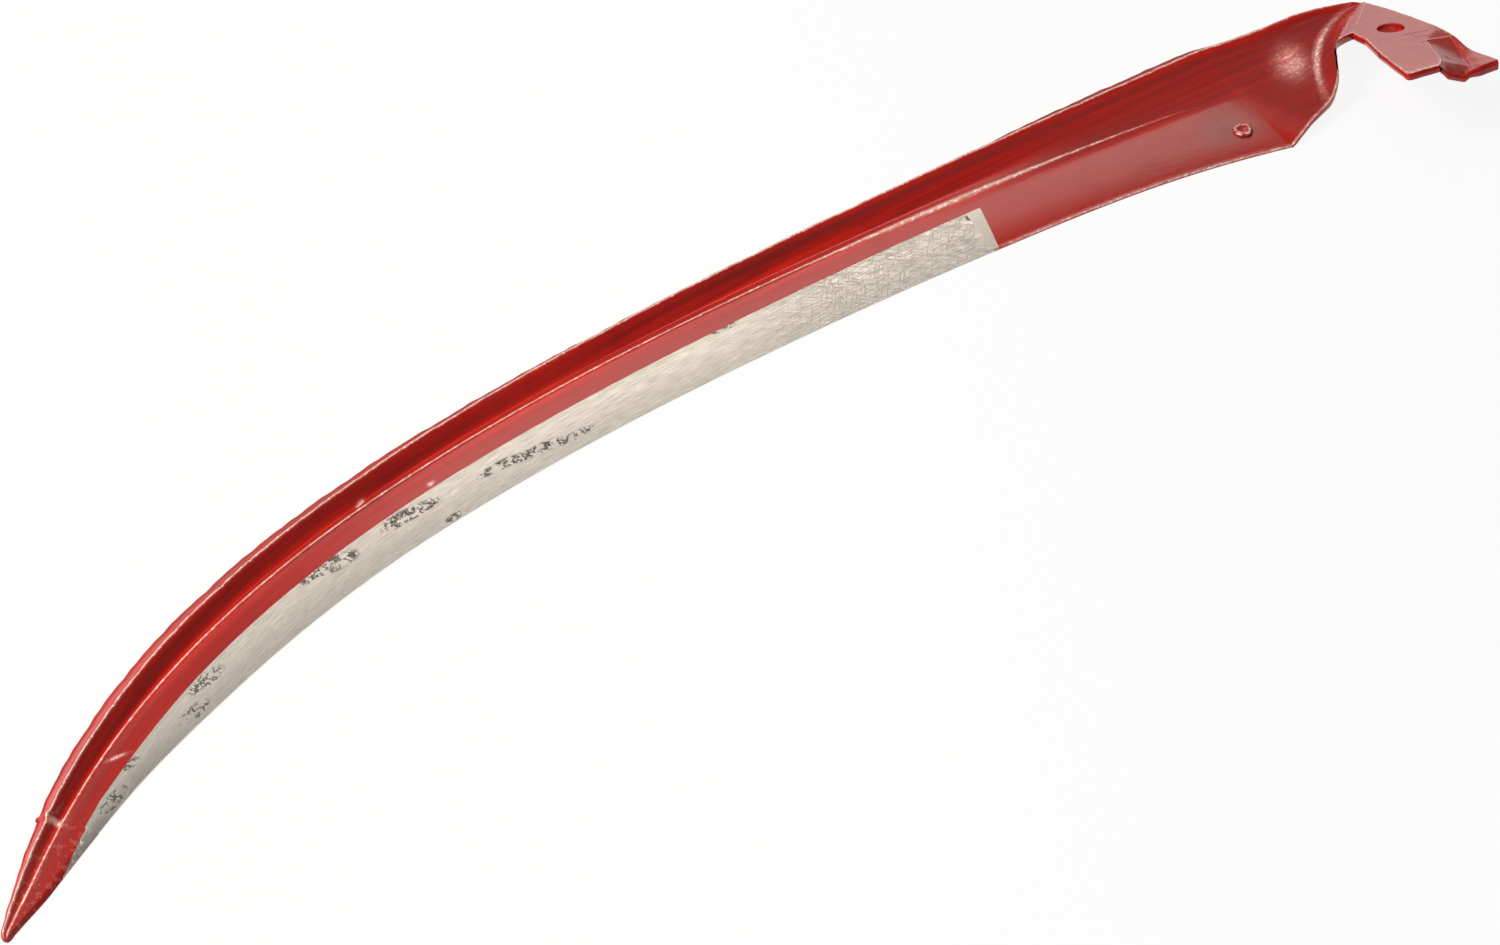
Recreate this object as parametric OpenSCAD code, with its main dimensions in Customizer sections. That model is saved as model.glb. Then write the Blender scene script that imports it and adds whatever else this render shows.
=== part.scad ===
/* [Blade outline] */
// Length of the blade from its point to the corner of the beard
blade_len = 600; // [500:5:700]
// Distance of the back's start from the line between the point and the beard
point_rise = -0.2; // [-1:0.1:1]
// Angle of the back where it leaves the point
point_angle = 41.3; // [39:0.1:44]
// How far the back keeps that angle before it bends
point_pull = 149; // [135:1:160]
// Angle at which the back comes into the heel, falling
heel_angle = 8; // [5:0.5:11]
// How far the back keeps that angle in front of the heel
heel_pull = 387; // [360:1:410]
// Distance of the back from the beard's corner, along the blade
heel_ahead = 13; // [8:0.5:18]
// Distance of the back from the beard's corner, across the blade
heel_depth = 61.5; // [56:0.5:66]

/* [Blade widths, from the back's crest to the edge] */
// Width at the very point
w_point = 3.4; // [2.8:0.1:4.5]
// Width a little behind the point
w_nose = 10.4; // [9.8:0.1:12]
// Width at the shoulder behind the point
w_toe = 19.1; // [18:0.1:22]
// Width where the bow is tightest
w_fore = 29.3; // [27:0.1:32]
// Width a third of the way along
w_bow = 35.1; // [33:0.1:38]
// Width past the middle
w_waist = 40.7; // [38:0.1:43]
// Width where the bare edge strip ends
w_hind = 46.4; // [44:0.1:49]
// Width between the strip's end and the beard
w_calf = 52; // [50.5:0.1:54]
// Width at the beard
w_beard = 62.4; // [59:0.1:66]

/* [Sheet and rib] */
// Thickness of the flat web
web_t = 1.6; // [1.2:0.1:2.2]
// Thickness left at the cutting edge
edge_t = 0.4; // [0.2:0.05:0.8]
// Upright thickness of the bent sheet in the rib and the ridge
rib_skin = 2.2; // [1.8:0.1:2.6]
// Height of the rib's crest over the ground
rib_h = 6.5; // [5.5:0.1:7.5]
// Height of the rib at the point
rib_h_point = 2.6; // [2.2:0.1:3.5]
// Height of the rib where it turns into the neck
rib_h_heel = 7.6; // [7:0.1:8.5]
// Width of the rib's outer slope
rib_slope_w = 6; // [5:0.1:7]
// Height of the sheet's rim at the foot of the outer slope
rim_h = 1.2; // [0.8:0.1:1.6]
// Height of the fuller's floor over the ground
fuller_floor = 1.1; // [0.9:0.05:1.5]
// Height of the stiffening ridge over the web
ridge_h = 0.2; // [0.1:0.05:0.5]
// Width of the ridge's slope down to the web
ridge_foot_w = 5.5; // [4:0.5:7]
// Distance of the fuller's floor from the crest
floor_w = 5.4; // [4.8:0.1:6]
// Distance of the ridge from the crest
ridge_w = 8; // [7.4:0.1:8.8]
// How far the edge's end of a cross line leans back towards the point
edge_lean = 7; // [4:0.5:9]

/* [Bare edge strip] */
// Distance of the strip's tapered start from the point
strip_start = 22; // [18:1:26]
// Length over which the strip comes to its width
strip_taper = 26; // [20:1:34]
// Width of the strip just behind its taper
strip_w_toe = 6.5; // [5:0.1:8]
// Width of the strip in the middle of the blade
strip_w_mid = 17; // [15:0.1:19]
// Width of the strip at its square end
strip_w_end = 22.5; // [20:0.1:25]
// Width of the bevel that runs on to the point
bevel_w = 2.2; // [1.5:0.1:3]

/* [Heel and neck] */
// Length over which the back runs on straight past the blade's last cross line
back_run = 47.2; // [44:0.1:50]
// Distance by which the back falls towards the edge over that length
back_drop = 10.2; // [9:0.1:12]
// Reach of the notch's edge beyond the beard's corner
notch_reach = 41; // [38:0.5:43]
// Distance across the blade at which the notch's edge stands furthest out
notch_depth = 15.2; // [13:0.1:17]
// Rise of the sheet towards the crease at the foot of the neck
dish_rise = 4.4; // [3:0.1:6]
// Share of the heel's length at which the crease leaves the notch
crease_notch = 0.29; // [0.22:0.01:0.34]
// Share of the heel's length at which the crease meets the back
crease_back = 0.83; // [0.76:0.01:0.88]
// Upright thickness of the bent sheet in the neck
neck_skin = 3.2; // [2.6:0.1:3.6]

/* [Tang] */
// Thickness of the tang
tang_t = 3; // [2.5:0.1:3.4]
// Distance of the tang's hole from the beard's corner, along the blade
hole_ahead = 68.6; // [66:0.1:72]
// Distance of the tang's hole from the beard's corner, across the blade
hole_depth = 11.3; // [8:0.1:14]
// Height of the tang's upper face at the hole
hole_z = 18; // [16:0.5:21]
// Radius of the tang's hole
hole_r = 5.5; // [4:0.1:6.5]
// Angle of the tang to the blade, seen from above
tang_turn = 103.5; // [100:0.5:107]
// Angle at which the tang rises from the ground
tang_rise = 18.5; // [15:0.5:22]
// Angle at which the tang leans to its outer side
tang_lean = 3.7; // [1:0.1:6]
// Distance of the hole's axis from the tang's outer edge
tang_out = 13.9; // [12.5:0.1:15]
// Distance of the hole's axis from the tang's inner edge
tang_in = 15; // [14:0.1:17]
// Distance of the hole's axis from the tang's root, at its outer side
root_back = 33; // [31:0.5:35]
// Distance of the hole's axis from the tang's root, at its inner side
root_in = 5.5; // [4.5:0.1:7]
// Distance of the hole's axis from the inner corner of the tang's end
tang_in_end = 28; // [25:0.1:30]
// Distance of the hole's axis from the tang's end
tang_end = 50; // [46:0.5:56]

/* [Knob] */
// Distance of the pressed knob's start from the hole's axis
knob_start = 22; // [19:0.5:26]
// Depth of the pressed groove at the tang's end
knob_depth = 6; // [4.5:0.1:7]
// Drop of the outer flap beside the groove
flap_drop = 4.4; // [3:0.1:5]
// Distance from the hole's axis to the groove's inner side, at the end
groove_side = 11; // [9:0.1:13]

/* [Heel rivet] */
// Radius of the hammered rivet head
rivet_r = 4; // [3:0.1:5]
// Height of the rivet head over the sheet
rivet_h = 1.1; // [0.7:0.1:1.6]
// Radius of the rivet's shank through the sheet
shank_r = 2; // [1.5:0.1:2.5]
// Play of the shank in its hole, all round
shank_play = 0.05; // [0.02:0.01:0.1]
// Distance of the rivet from the blade's last cross line, towards the point
rivet_back = 11; // [8:0.5:14]
// Distance of the rivet from the edge
rivet_depth = 15; // [11:0.5:19]

/* [Hidden] */

// Colours of the red paint in light and in shade, and of the bare steel
RED = [0.62, 0.07, 0.06];
DEEP_RED = [0.50, 0.04, 0.04];
STEEL = [0.76, 0.72, 0.67];

// Shares of the blade's length at which the widths and heights are given
SHARES = [0, 0.025, 0.08, 0.18, 0.35, 0.58, 0.80, 0.93, 1.022];
WIDTHS = [w_point, w_nose, w_toe, w_fore, w_bow, w_waist, w_hind, w_calf, w_beard];
SLOPES = rib_slope_w * [0.1, 0.28, 0.74, 1.05, 1.12, 0.93, 0.9, 1.25, 1.3];
HEIGHTS = [rib_h_point, mix(rib_h_point, rib_h, 0.25), mix(rib_h_point, rib_h, 0.6), 0.95 * rib_h,
           rib_h, rib_h, rib_h, mix(rib_h, rib_h_heel, 0.2), mix(rib_h, rib_h_heel, 0.5)];
// Distances from the crest to the fuller's floor, the ridge and the ridge's foot
FLOORS = floor_w * [0.21, 0.46, 0.67, 0.92, 1, 1.3, 2, 2.5, 2.9];
RIDGES = ridge_w * [0.19, 0.42, 0.62, 0.85, 1, 1.3, 1.87, 2.45, 3.1];
RIDGE_RISES = ridge_h * [0, 0.3, 0.7, 1, 1, 1, 1, 0.5, 0.2];
FEET = ridge_foot_w * [0.1, 0.4, 0.7, 1, 1, 1, 1.24, 1.15, 0.71];
// Share by which fuller and ridge run out into one hollow sweep towards the heel
SWEEPS = [0, 0, 0, 0, 0, 0, 0.2, 0.9, 1];
STRIPS = [strip_w_toe, strip_w_toe, strip_w_toe, mix(strip_w_toe, strip_w_mid, 0.65), strip_w_mid,
          mix(strip_w_mid, strip_w_end, 0.46), strip_w_end, 1.1 * strip_w_end, 1.2 * strip_w_end];
LEANS = edge_lean * [0, 0, 0, 0, 0, 0.43, 1, 0.86, 0.6];

// Ends of the sub-parts along the blade, as rows of the grid
TIP_ROWS = 3;
POINT_ROWS = 9;
STRIP_ROWS = 37;
BLADE_ROWS = 45;
HEEL_ROWS = 5;
NECK_ROWS = 11;
LAST_ROW = BLADE_ROWS + HEEL_ROWS + NECK_ROWS;
// Place on the back's curve, from 0 to 1, where the rounding, the point and the strip end
TIP_T = 0.009;
POINT_T = 0.116;
STRIP_T = 0.876;
// Columns of the grid across the blade
COL_CREST = 3;
COL_FLOOR = 7;
COL_RIDGE = 9;
COL_WEB = 11;
COL_STRIP = 14;
LAST_COL = 18;
// Furthest share of the way from the ridge to the edge zone that the ridge's slope takes
SLOPE_REACH = 0.92;
// Shares of each zone at which its columns stand
SLOPE_STEPS = [0, 0.45, 0.8, 1];
RIB_STEPS = [0.16, 0.45, 0.75, 1];
STRIP_STEPS = [0.35, 0.7, 0.92, 1];
// How late the edge zone, the hollow sweep and the heel's dish take up their curve
EDGE_CURVE = 1.6;
SWEEP_CURVE = 1.6;
DISH_CURVE = 1.8;

function mix(a, b, m) = a + (b - a) * m;
function clip(m) = min(1, max(0, m));
function ease(m) = m * m * (3 - 2 * m);
function unit(v) = v / norm(v);

// Smooth curve through a list of values at the given places; its last piece is a parabola
function slope_at(xs, ys, i) = i == 0 ? (ys[1] - ys[0]) / (xs[1] - xs[0])
    : i < len(xs) - 1 ? (ys[i + 1] - ys[i - 1]) / (xs[i + 1] - xs[i - 1])
    : 2 * (ys[i] - ys[i - 1]) / (xs[i] - xs[i - 1]) - slope_at(xs, ys, i - 1);
function piece(xs, x, i = 0) = i >= len(xs) - 2 || x < xs[i + 1] ? i : piece(xs, x, i + 1);
function hermite(xs, ys, x, i) =
    let (h = xs[i + 1] - xs[i], m = (x - xs[i]) / h)
    ys[i] * (1 - ease(m)) + ys[i + 1] * ease(m)
    + slope_at(xs, ys, i) * h * m * (1 - m) * (1 - m) - slope_at(xs, ys, i + 1) * h * m * m * (1 - m);
function along(xs, ys, x) = hermite(xs, ys, x, piece(xs, x));
function even(n) = [for (i = [0 : n - 1]) i / (n - 1)];

// The back's crest, a curve of Bezier's kind from the point to the heel
CREST = let (a = [-0.65 * w_point, point_rise], d = [blade_len + heel_ahead, heel_depth])
    [a, a + point_pull * [cos(point_angle), sin(point_angle)],
     d - heel_pull * [cos(heel_angle), -sin(heel_angle)], d];
function crest(t) = let (s = 1 - t)
    s * s * s * CREST[0] + 3 * s * s * t * CREST[1] + 3 * s * t * t * CREST[2] + t * t * t * CREST[3];
function heading(t) = let (s = 1 - t)
    unit(s * s * (CREST[1] - CREST[0]) + 2 * s * t * (CREST[2] - CREST[1]) + t * t * (CREST[3] - CREST[2]));
function law(values, t) = along(SHARES, values, max(0, crest(t).x) / blade_len);

// Width of the edge zone: the bevel at the point, the bare strip and its painted run to the beard
function edge_zone(t) = let (x = crest(t).x)
    mix(bevel_w * mix(0.4, 1, clip(x / strip_start)), law(STRIPS, t), clip((x - strip_start) / strip_taper));

// Distances of a row's columns from the crest, towards the edge
function columns(slope, floor_q, ridge_q, foot_q, strip_q, edge_q) = concat(
    [for (m = SLOPE_STEPS) -slope * (1 - m)],
    [for (m = RIB_STEPS) floor_q * m],
    [for (m = [0.5, 1]) mix(floor_q, ridge_q, m)],
    [for (m = [0.5, 1]) mix(ridge_q, foot_q, m)],
    [for (m = [1 : 3]) mix(foot_q, strip_q, m / 3)],
    [for (m = STRIP_STEPS) mix(strip_q, edge_q, m)]);
function row_columns(t) =
    let (w = law(WIDTHS, t), r = law(RIDGES, t), strip = w - edge_zone(t))
    columns(law(SLOPES, t), law(FLOORS, t), r, min(r + law(FEET, t), mix(r, strip, SLOPE_REACH)), strip, w);

// Height of the upper face over the ground, from the outer rim over rib, fuller and ridge to the edge
function grooved(q, c, crest_z, floor_z, ridge_z) =
    q < c[COL_FLOOR] ? mix(crest_z, floor_z, ease(q / c[COL_FLOOR]))
    : q < c[COL_RIDGE] ? mix(floor_z, ridge_z, ease((q - c[COL_FLOOR]) / (c[COL_RIDGE] - c[COL_FLOOR])))
    : mix(ridge_z, web_t, (q - c[COL_RIDGE]) / (c[COL_WEB] - c[COL_RIDGE]));
function upper(q, c, crest_z, floor_z, ridge_z, edge_z, sweep) =
    q < 0 ? mix(rim_h, crest_z, ease(1 - q / c[0]))
    : q < c[COL_WEB] ? mix(grooved(q, c, crest_z, floor_z, ridge_z),
        mix(web_t, crest_z, pow(1 - q / c[COL_WEB], SWEEP_CURVE)), clip(sweep))
    : mix(web_t, edge_z, pow(clip((q - c[COL_STRIP]) / (c[LAST_COL] - c[COL_STRIP])), EDGE_CURVE));

// One row of the blade, whose point is rounded off by drawing its first rows together
function tip_share(t) = t >= TIP_T ? 1 : sqrt(1 - pow(1 - max(0.04, t / TIP_T), 2));
function on_blade(t, q) = let (f = heading(t), w = law(WIDTHS, t))
    crest(t) + [f.y, -f.x] * mix(w / 2, q, tip_share(t)) - f * law(LEANS, t) * max(0, q) / w;
function blade_row(t) = let (c = row_columns(t))
    [for (q = c)
        let (p = on_blade(t, q))
        [p.x, p.y, upper(q, c, law(HEIGHTS, t), mix(web_t, fuller_floor, clip(t / POINT_T)),
            web_t + law(RIDGE_RISES, t), edge_t, law(SWEEPS, t))]];

// Middle of the rivet, and the height of the sheet's highest point under its head
RIVET = let (t = 1 - rivet_back / (3 * heel_pull), c = row_columns(t), q = c[LAST_COL] - rivet_depth)
    concat(on_blade(t, q), [upper(q - rivet_r, c, web_t, web_t, web_t, edge_t, 0)]);

// The tang's own frame: along the tang, across it to the outer side, and up
function turn_x(v, a) = [v.x, v.y * cos(a) - v.z * sin(a), v.y * sin(a) + v.z * cos(a)];
function turn_y(v, a) = [v.x * cos(a) + v.z * sin(a), v.y, -v.x * sin(a) + v.z * cos(a)];
function turn_z(v, a) = [v.x * cos(a) - v.y * sin(a), v.x * sin(a) + v.y * cos(a), v.z];
function tang_turned(v) = turn_z(turn_y(turn_x(v, -tang_lean), -tang_rise), -tang_turn);
HOLE = [blade_len + hole_ahead, hole_depth, hole_z];
TANG_UP = tang_turned([0, 0, 1]);
function on_tang(p) = HOLE + tang_turned([p.x, p.y, 0]);
function tang_z(p) = HOLE.z - ((p.x - HOLE.x) * TANG_UP.x + (p.y - HOLE.y) * TANG_UP.y) / TANG_UP.z;
ROOT_OUT = [-root_back, 0.76 * tang_out];
ROOT_IN = [-root_in, -0.95 * tang_in];

// Outline of the tang on its own plane, and the oblique side of the groove pressed into it
RULING = unit(ROOT_IN - ROOT_OUT);
GROOVE_A = [knob_start, 0.07 * tang_out];
GROOVE_B = [tang_end, -groove_side];
function tang_outline() = [
    ROOT_OUT - RULING * SLOPES[len(SLOPES) - 1] * 0.2, [-0.67 * root_back, 0.95 * tang_out],
    [-0.3 * root_back, tang_out],
    [knob_start, tang_out], GROOVE_A, GROOVE_B, [tang_end, -tang_in_end],
    [0.75 * tang_end, -mix(tang_in, tang_in_end, 0.77)], [knob_start, -mix(tang_in, tang_in_end, 0.46)],
    [0.8 * root_in, -tang_in], [-0.36 * root_in, -0.97 * tang_in], ROOT_IN];

// The heel turns from the blade into the tang between its back and the notch
BEARD = [blade_len, 0];
HEEL_BACK = let (r = on_tang(ROOT_OUT))
    [CREST[3], CREST[3] + [0.47 * back_run, -0.57 * back_drop], CREST[3] + [back_run, -back_drop],
     [r.x - 0.16 * back_run, r.y + 0.49 * back_drop], [r.x, r.y]];
NOTCH = let (r = on_tang(ROOT_IN))
    concat([for (p = [[0, 0], [0.32, 0.15], [0.65, 0.31], [0.81, 0.48], [0.9, 0.68], [1, 1]])
            BEARD + [p.x * notch_reach, p.y * notch_depth]],
        [[r.x - 0.25 * notch_reach, r.y - 0.02 * notch_depth], [r.x, r.y]]);
function route(points, u) = [along(even(len(points)), [for (p = points) p.x], u),
    along(even(len(points)), [for (p = points) p.y], u)];
function crease(v) = mix(crease_notch, crease_back, pow(1 - clip(v), 1.3));
// Share of the way from the heel's sheet up to the tang's plane
function climb(u, v) = let (m = clip((u - crease(v)) / (1 - crease(v))))
    0.75 * m + 1.5 * m * m - 1.25 * m * m * m;
function heel_row(u) =
    let (a = route(HEEL_BACK, u), b = route(NOTCH, u), w = norm(b - a),
         first = row_columns(1), turned = ease(clip(u / 0.6)),
         spread = [for (j = [0 : LAST_COL]) j < COL_CREST ? first[j] * mix(1, 0.2, ease(u))
            : mix(first[j] / first[LAST_COL], (j - COL_CREST) / (LAST_COL - COL_CREST), turned) * w],
         rib_c = [for (q = first) q * (q > 0 ? w / first[LAST_COL] : mix(1, 0.2, ease(u)))])
    [for (q = spread)
        let (v = q / w, p = mix(a, b, v),
             dish = dish_rise * (1 - pow(1 - clip(u / crease(v)), DISH_CURVE)) * ease(clip(v / 0.4)),
             low = upper(q, rib_c, mix(law(HEIGHTS, 1), rib_h_heel, clip(u * 2)), fuller_floor,
                web_t + law(RIDGE_RISES, 1), mix(edge_t, web_t, clip(u * 7)), law(SWEEPS, 1)) + dish)
        [p.x, p.y, mix(low, tang_z(p), climb(u, v))]];

// The whole grid of the forging's upper face, row by row from the point to the tang's root
function place(i) = i < TIP_ROWS ? TIP_T * pow(i / TIP_ROWS, 1.6)
    : i < POINT_ROWS ? mix(TIP_T, POINT_T, (i - TIP_ROWS) / (POINT_ROWS - TIP_ROWS))
    : i < STRIP_ROWS ? mix(POINT_T, STRIP_T, (i - POINT_ROWS) / (STRIP_ROWS - POINT_ROWS))
    : mix(STRIP_T, 1, (i - STRIP_ROWS) / (BLADE_ROWS - STRIP_ROWS));
TOP = concat(
    [for (i = [0 : BLADE_ROWS]) blade_row(place(i))],
    [for (i = [1 : HEEL_ROWS + NECK_ROWS]) heel_row(i / (HEEL_ROWS + NECK_ROWS))]);
// The underside follows it at the sheet's thickness and is flat where it lies on the ground
function skin(row, col) = let (u = clip((row - BLADE_ROWS) / (HEEL_ROWS + NECK_ROWS)))
    row == LAST_ROW ? tang_t : mix(col <= COL_WEB ? rib_skin : web_t, neck_skin, ease(clip(u * 2)));
function under(p, row, col) =
    let (u = clip((row - BLADE_ROWS) / (HEEL_ROWS + NECK_ROWS)), d = unit(mix([0, 0, 1], TANG_UP, u * u)),
         b = p - d * skin(row, col))
    b.z < 0 ? [p.x, p.y, 0] : b;

// The knob: a groove pressed slantwise into the tang's end, with the flap beside it bent down
KNOB_ROWS = 10;
KNOB_STEPS = [0, 0.12, 0.26, 0.4, 0.52, 0.62, 0.72, 0.86, 1];
KNOB_DROPS = [0, 0.22, 0.75, 1, 0.98, 1.15, 1.02, 1, 0.85];
function knob_point(m, k) =
    let (a = mix(GROOVE_A, GROOVE_B, m), b = [mix(knob_start, tang_end, m), tang_out])
    concat(mix(a, b, KNOB_STEPS[k]), [k < 5 ? -knob_depth * KNOB_DROPS[k] * ease(clip(m * 1.25))
        : -flap_drop * KNOB_DROPS[k] * ease(clip(m * 2.2))]);
KNOB = [for (i = [0 : KNOB_ROWS]) [for (k = [0 : len(KNOB_STEPS) - 1]) knob_point(i / KNOB_ROWS, k)]];
// The flap's end is upset, so that it is thicker there than the tang
UNDER_KNOB = [for (i = [0 : KNOB_ROWS]) [for (k = [0 : len(KNOB_STEPS) - 1])
    KNOB[i][k] - [0, 0, tang_t * (k < 5 ? 1 : mix(1, 1.4, i / KNOB_ROWS))]]];

// The frame's origin stands under the middle of the whole object's box
OUTLINE = concat([for (i = [0 : LAST_ROW]) each [for (j = [0, LAST_COL]) each
        [TOP[i][j], under(TOP[i][j], i, j)]]],
    [for (p = tang_outline()) each [for (z = [0, -tang_t]) HOLE + tang_turned([p.x, p.y, z])]],
    [for (row = concat(KNOB, UNDER_KNOB)) each [for (p = row) HOLE + tang_turned(p)]]);
LOW = [min([for (p = OUTLINE) p.x]), min([for (p = OUTLINE) p.y])];
HIGH = [max([for (p = OUTLINE) p.x]), max([for (p = OUTLINE) p.y])];
MIDDLE = (LOW + HIGH) / 2;
module placed() { translate([-MIDDLE.x, -MIDDLE.y, 0]) children(); }
module tang_placed() { placed() translate(HOLE) rotate([-tang_lean, -tang_rise, -tang_turn]) children(); }

// A closed solid between an upper and a lower grid of points
module shell(upper_grid, lower_grid) {
    rows = len(upper_grid);
    cols = len(upper_grid[0]);
    n = rows * cols;
    function at(i, j) = i * cols + j;
    rim = concat([for (j = [0 : cols - 1]) at(0, j)], [for (i = [1 : rows - 1]) at(i, cols - 1)],
        [for (j = [cols - 2 : -1 : 0]) at(rows - 1, j)], [for (i = [rows - 2 : -1 : 1]) at(i, 0)]);
    m = len(rim);
    polyhedron(
        points = concat([for (row = upper_grid) each row], [for (row = lower_grid) each row]),
        faces = concat(
            [for (i = [0 : rows - 2], j = [0 : cols - 2]) each
                [[at(i, j), at(i, j + 1), at(i + 1, j)], [at(i + 1, j), at(i, j + 1), at(i + 1, j + 1)]]],
            [for (i = [0 : rows - 2], j = [0 : cols - 2]) each
                [[n + at(i, j), n + at(i + 1, j), n + at(i, j + 1)],
                 [n + at(i + 1, j), n + at(i + 1, j + 1), n + at(i, j + 1)]]],
            [for (k = [0 : m - 1]) each
                [[rim[k], n + rim[k], rim[(k + 1) % m]],
                 [rim[(k + 1) % m], n + rim[k], n + rim[(k + 1) % m]]]]));
}
// The piece of the forging between two rows and two columns of its grid
module forged(row_a, row_b, col_a, col_b) {
    placed() shell(
        [for (i = [row_a : row_b]) [for (j = [col_a : col_b]) TOP[i][j]]],
        [for (i = [row_a : row_b]) [for (j = [col_a : col_b]) under(TOP[i][j], i, j)]]);
}

module blade_point() { color(RED) forged(0, POINT_ROWS, 0, LAST_COL); }
module back_rib() { color(DEEP_RED) forged(POINT_ROWS, BLADE_ROWS, 0, COL_FLOOR - 1); }
module fuller() { color(RED) forged(POINT_ROWS, BLADE_ROWS, COL_FLOOR - 1, COL_RIDGE - 1); }
module stiffening_ridge() { color(DEEP_RED) forged(POINT_ROWS, BLADE_ROWS, COL_RIDGE - 1, COL_WEB); }
module web() { color(RED) forged(POINT_ROWS, BLADE_ROWS, COL_WEB, COL_STRIP); }
module cutting_edge() { color(STEEL) forged(POINT_ROWS, STRIP_ROWS, COL_STRIP, LAST_COL); }
module beard() {
    color(DEEP_RED) difference() {
        forged(STRIP_ROWS, BLADE_ROWS, COL_STRIP, LAST_COL);
        placed() translate([RIVET.x, RIVET.y, -web_t])
            cylinder(r = shank_r + shank_play, h = 4 * web_t, $fn = 32);
    }
}
module heel() { color(RED) forged(BLADE_ROWS, BLADE_ROWS + HEEL_ROWS, 0, LAST_COL); }
module neck() { color(DEEP_RED) forged(BLADE_ROWS + HEEL_ROWS, LAST_ROW, 0, LAST_COL); }

module tang() {
    color(RED) tang_placed() difference() {
        translate([0, 0, -tang_t]) linear_extrude(tang_t) polygon(tang_outline());
        translate([0, 0, -2 * tang_t]) cylinder(r = hole_r, h = 3 * tang_t, $fn = 64);
    }
}

module tang_knob() {
    color(DEEP_RED) tang_placed() mirror([0, 1, 0]) shell(
        [for (row = KNOB) [for (p = row) [p.x, -p.y, p.z]]],
        [for (row = UNDER_KNOB) [for (p = row) [p.x, -p.y, p.z]]]);
}

// The rivet: a shank through the sheet and a low round head with a dimple, seated on the sheet
module heel_rivet() {
    color(RED) placed() translate([RIVET.x, RIVET.y, 0])
        rotate_extrude($fn = 32) polygon([[0, 0], [shank_r, 0], [shank_r, RIVET.z], [rivet_r, RIVET.z],
            [rivet_r * 0.95, RIVET.z + rivet_h * 0.6], [rivet_r * 0.7, RIVET.z + rivet_h],
            [rivet_r * 0.35, RIVET.z + rivet_h * 0.8], [0, RIVET.z + rivet_h * 0.6]]);
}

blade_point();
back_rib();
fuller();
stiffening_ridge();
web();
cutting_edge();
beard();
heel();
neck();
tang();
tang_knob();
heel_rivet();
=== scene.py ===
import math

import bpy
import numpy as np
from bpy.props import FloatProperty, FloatVectorProperty, PointerProperty
from mathutils import Matrix, Quaternion, Vector


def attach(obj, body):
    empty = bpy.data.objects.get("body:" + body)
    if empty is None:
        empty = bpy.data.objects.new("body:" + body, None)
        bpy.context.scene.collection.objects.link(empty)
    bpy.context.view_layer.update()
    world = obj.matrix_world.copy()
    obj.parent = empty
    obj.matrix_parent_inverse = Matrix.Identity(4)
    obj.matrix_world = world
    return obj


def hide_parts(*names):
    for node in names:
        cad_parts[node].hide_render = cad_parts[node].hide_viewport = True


bl_info = {
    "name": "Scythe Blade",
    "version": (1, 0, 0),
    "blender": (4, 5, 0),
    "location": "View3D > Sidebar > Scythe",
    "description": "Builds the finished surfaces of a red painted scythe blade round its solids",
    "category": "Object",
}

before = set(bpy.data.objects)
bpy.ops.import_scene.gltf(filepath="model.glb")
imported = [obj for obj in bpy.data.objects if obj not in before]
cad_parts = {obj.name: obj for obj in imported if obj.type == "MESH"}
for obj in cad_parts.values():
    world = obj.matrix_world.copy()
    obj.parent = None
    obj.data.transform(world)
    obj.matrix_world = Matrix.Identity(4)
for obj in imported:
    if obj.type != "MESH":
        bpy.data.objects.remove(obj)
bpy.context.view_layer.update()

# Sizes shared with the solids, in millimetres and degrees. The blade lies with
# its point at -X, its heel at +X, its back at +Y and its sole on z = 0.

MM = 0.001
BLADE_LEN = 600.0
POINT_W, POINT_RISE, POINT_ANGLE, POINT_PULL = 3.4, -0.2, 41.3, 149.0
HEEL_AHEAD, HEEL_DEPTH, HEEL_ANGLE, HEEL_PULL = 13.0, 61.5, 8.0, 387.0
# Middle of the solids' box, counted from the blade's point
MIDDLE = np.array([342.955, 28.5489, 0.0])

WEB_T, EDGE_T = 1.6, 0.4
RIB_SKIN, NECK_SKIN = 2.2, 3.2
RIB_H, RIB_H_POINT, RIB_H_HEEL = 6.5, 2.6, 7.6
RIM_H, FULLER_FLOOR = 1.2, 1.1
STRIP_START, STRIP_TAPER, BEVEL_W = 22.0, 26.0, 2.2
BACK_RUN, BACK_DROP = 47.2, 10.2
NOTCH_REACH, NOTCH_DEPTH = 41.0, 15.2
DISH_RISE, CREASE_NOTCH, CREASE_BACK = 4.4, 0.29, 0.83

TANG_T = 3.0
HOLE = np.array([668.6, 11.3, 18.0])
HOLE_R = 5.5
TANG_TURN, TANG_RISE, TANG_LEAN = 103.5, 18.5, 3.7
TANG_OUT, TANG_IN, TANG_IN_END, TANG_END = 13.9, 15.0, 28.0, 50.0
ROOT_BACK, ROOT_IN_T = 33.0, 5.5
KNOB_START = 22.0

RIVET_R, RIVET_H, SHANK_R = 4.0, 1.1, 2.0
RIVET_BACK, RIVET_DEPTH = 11.0, 15.0

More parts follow.
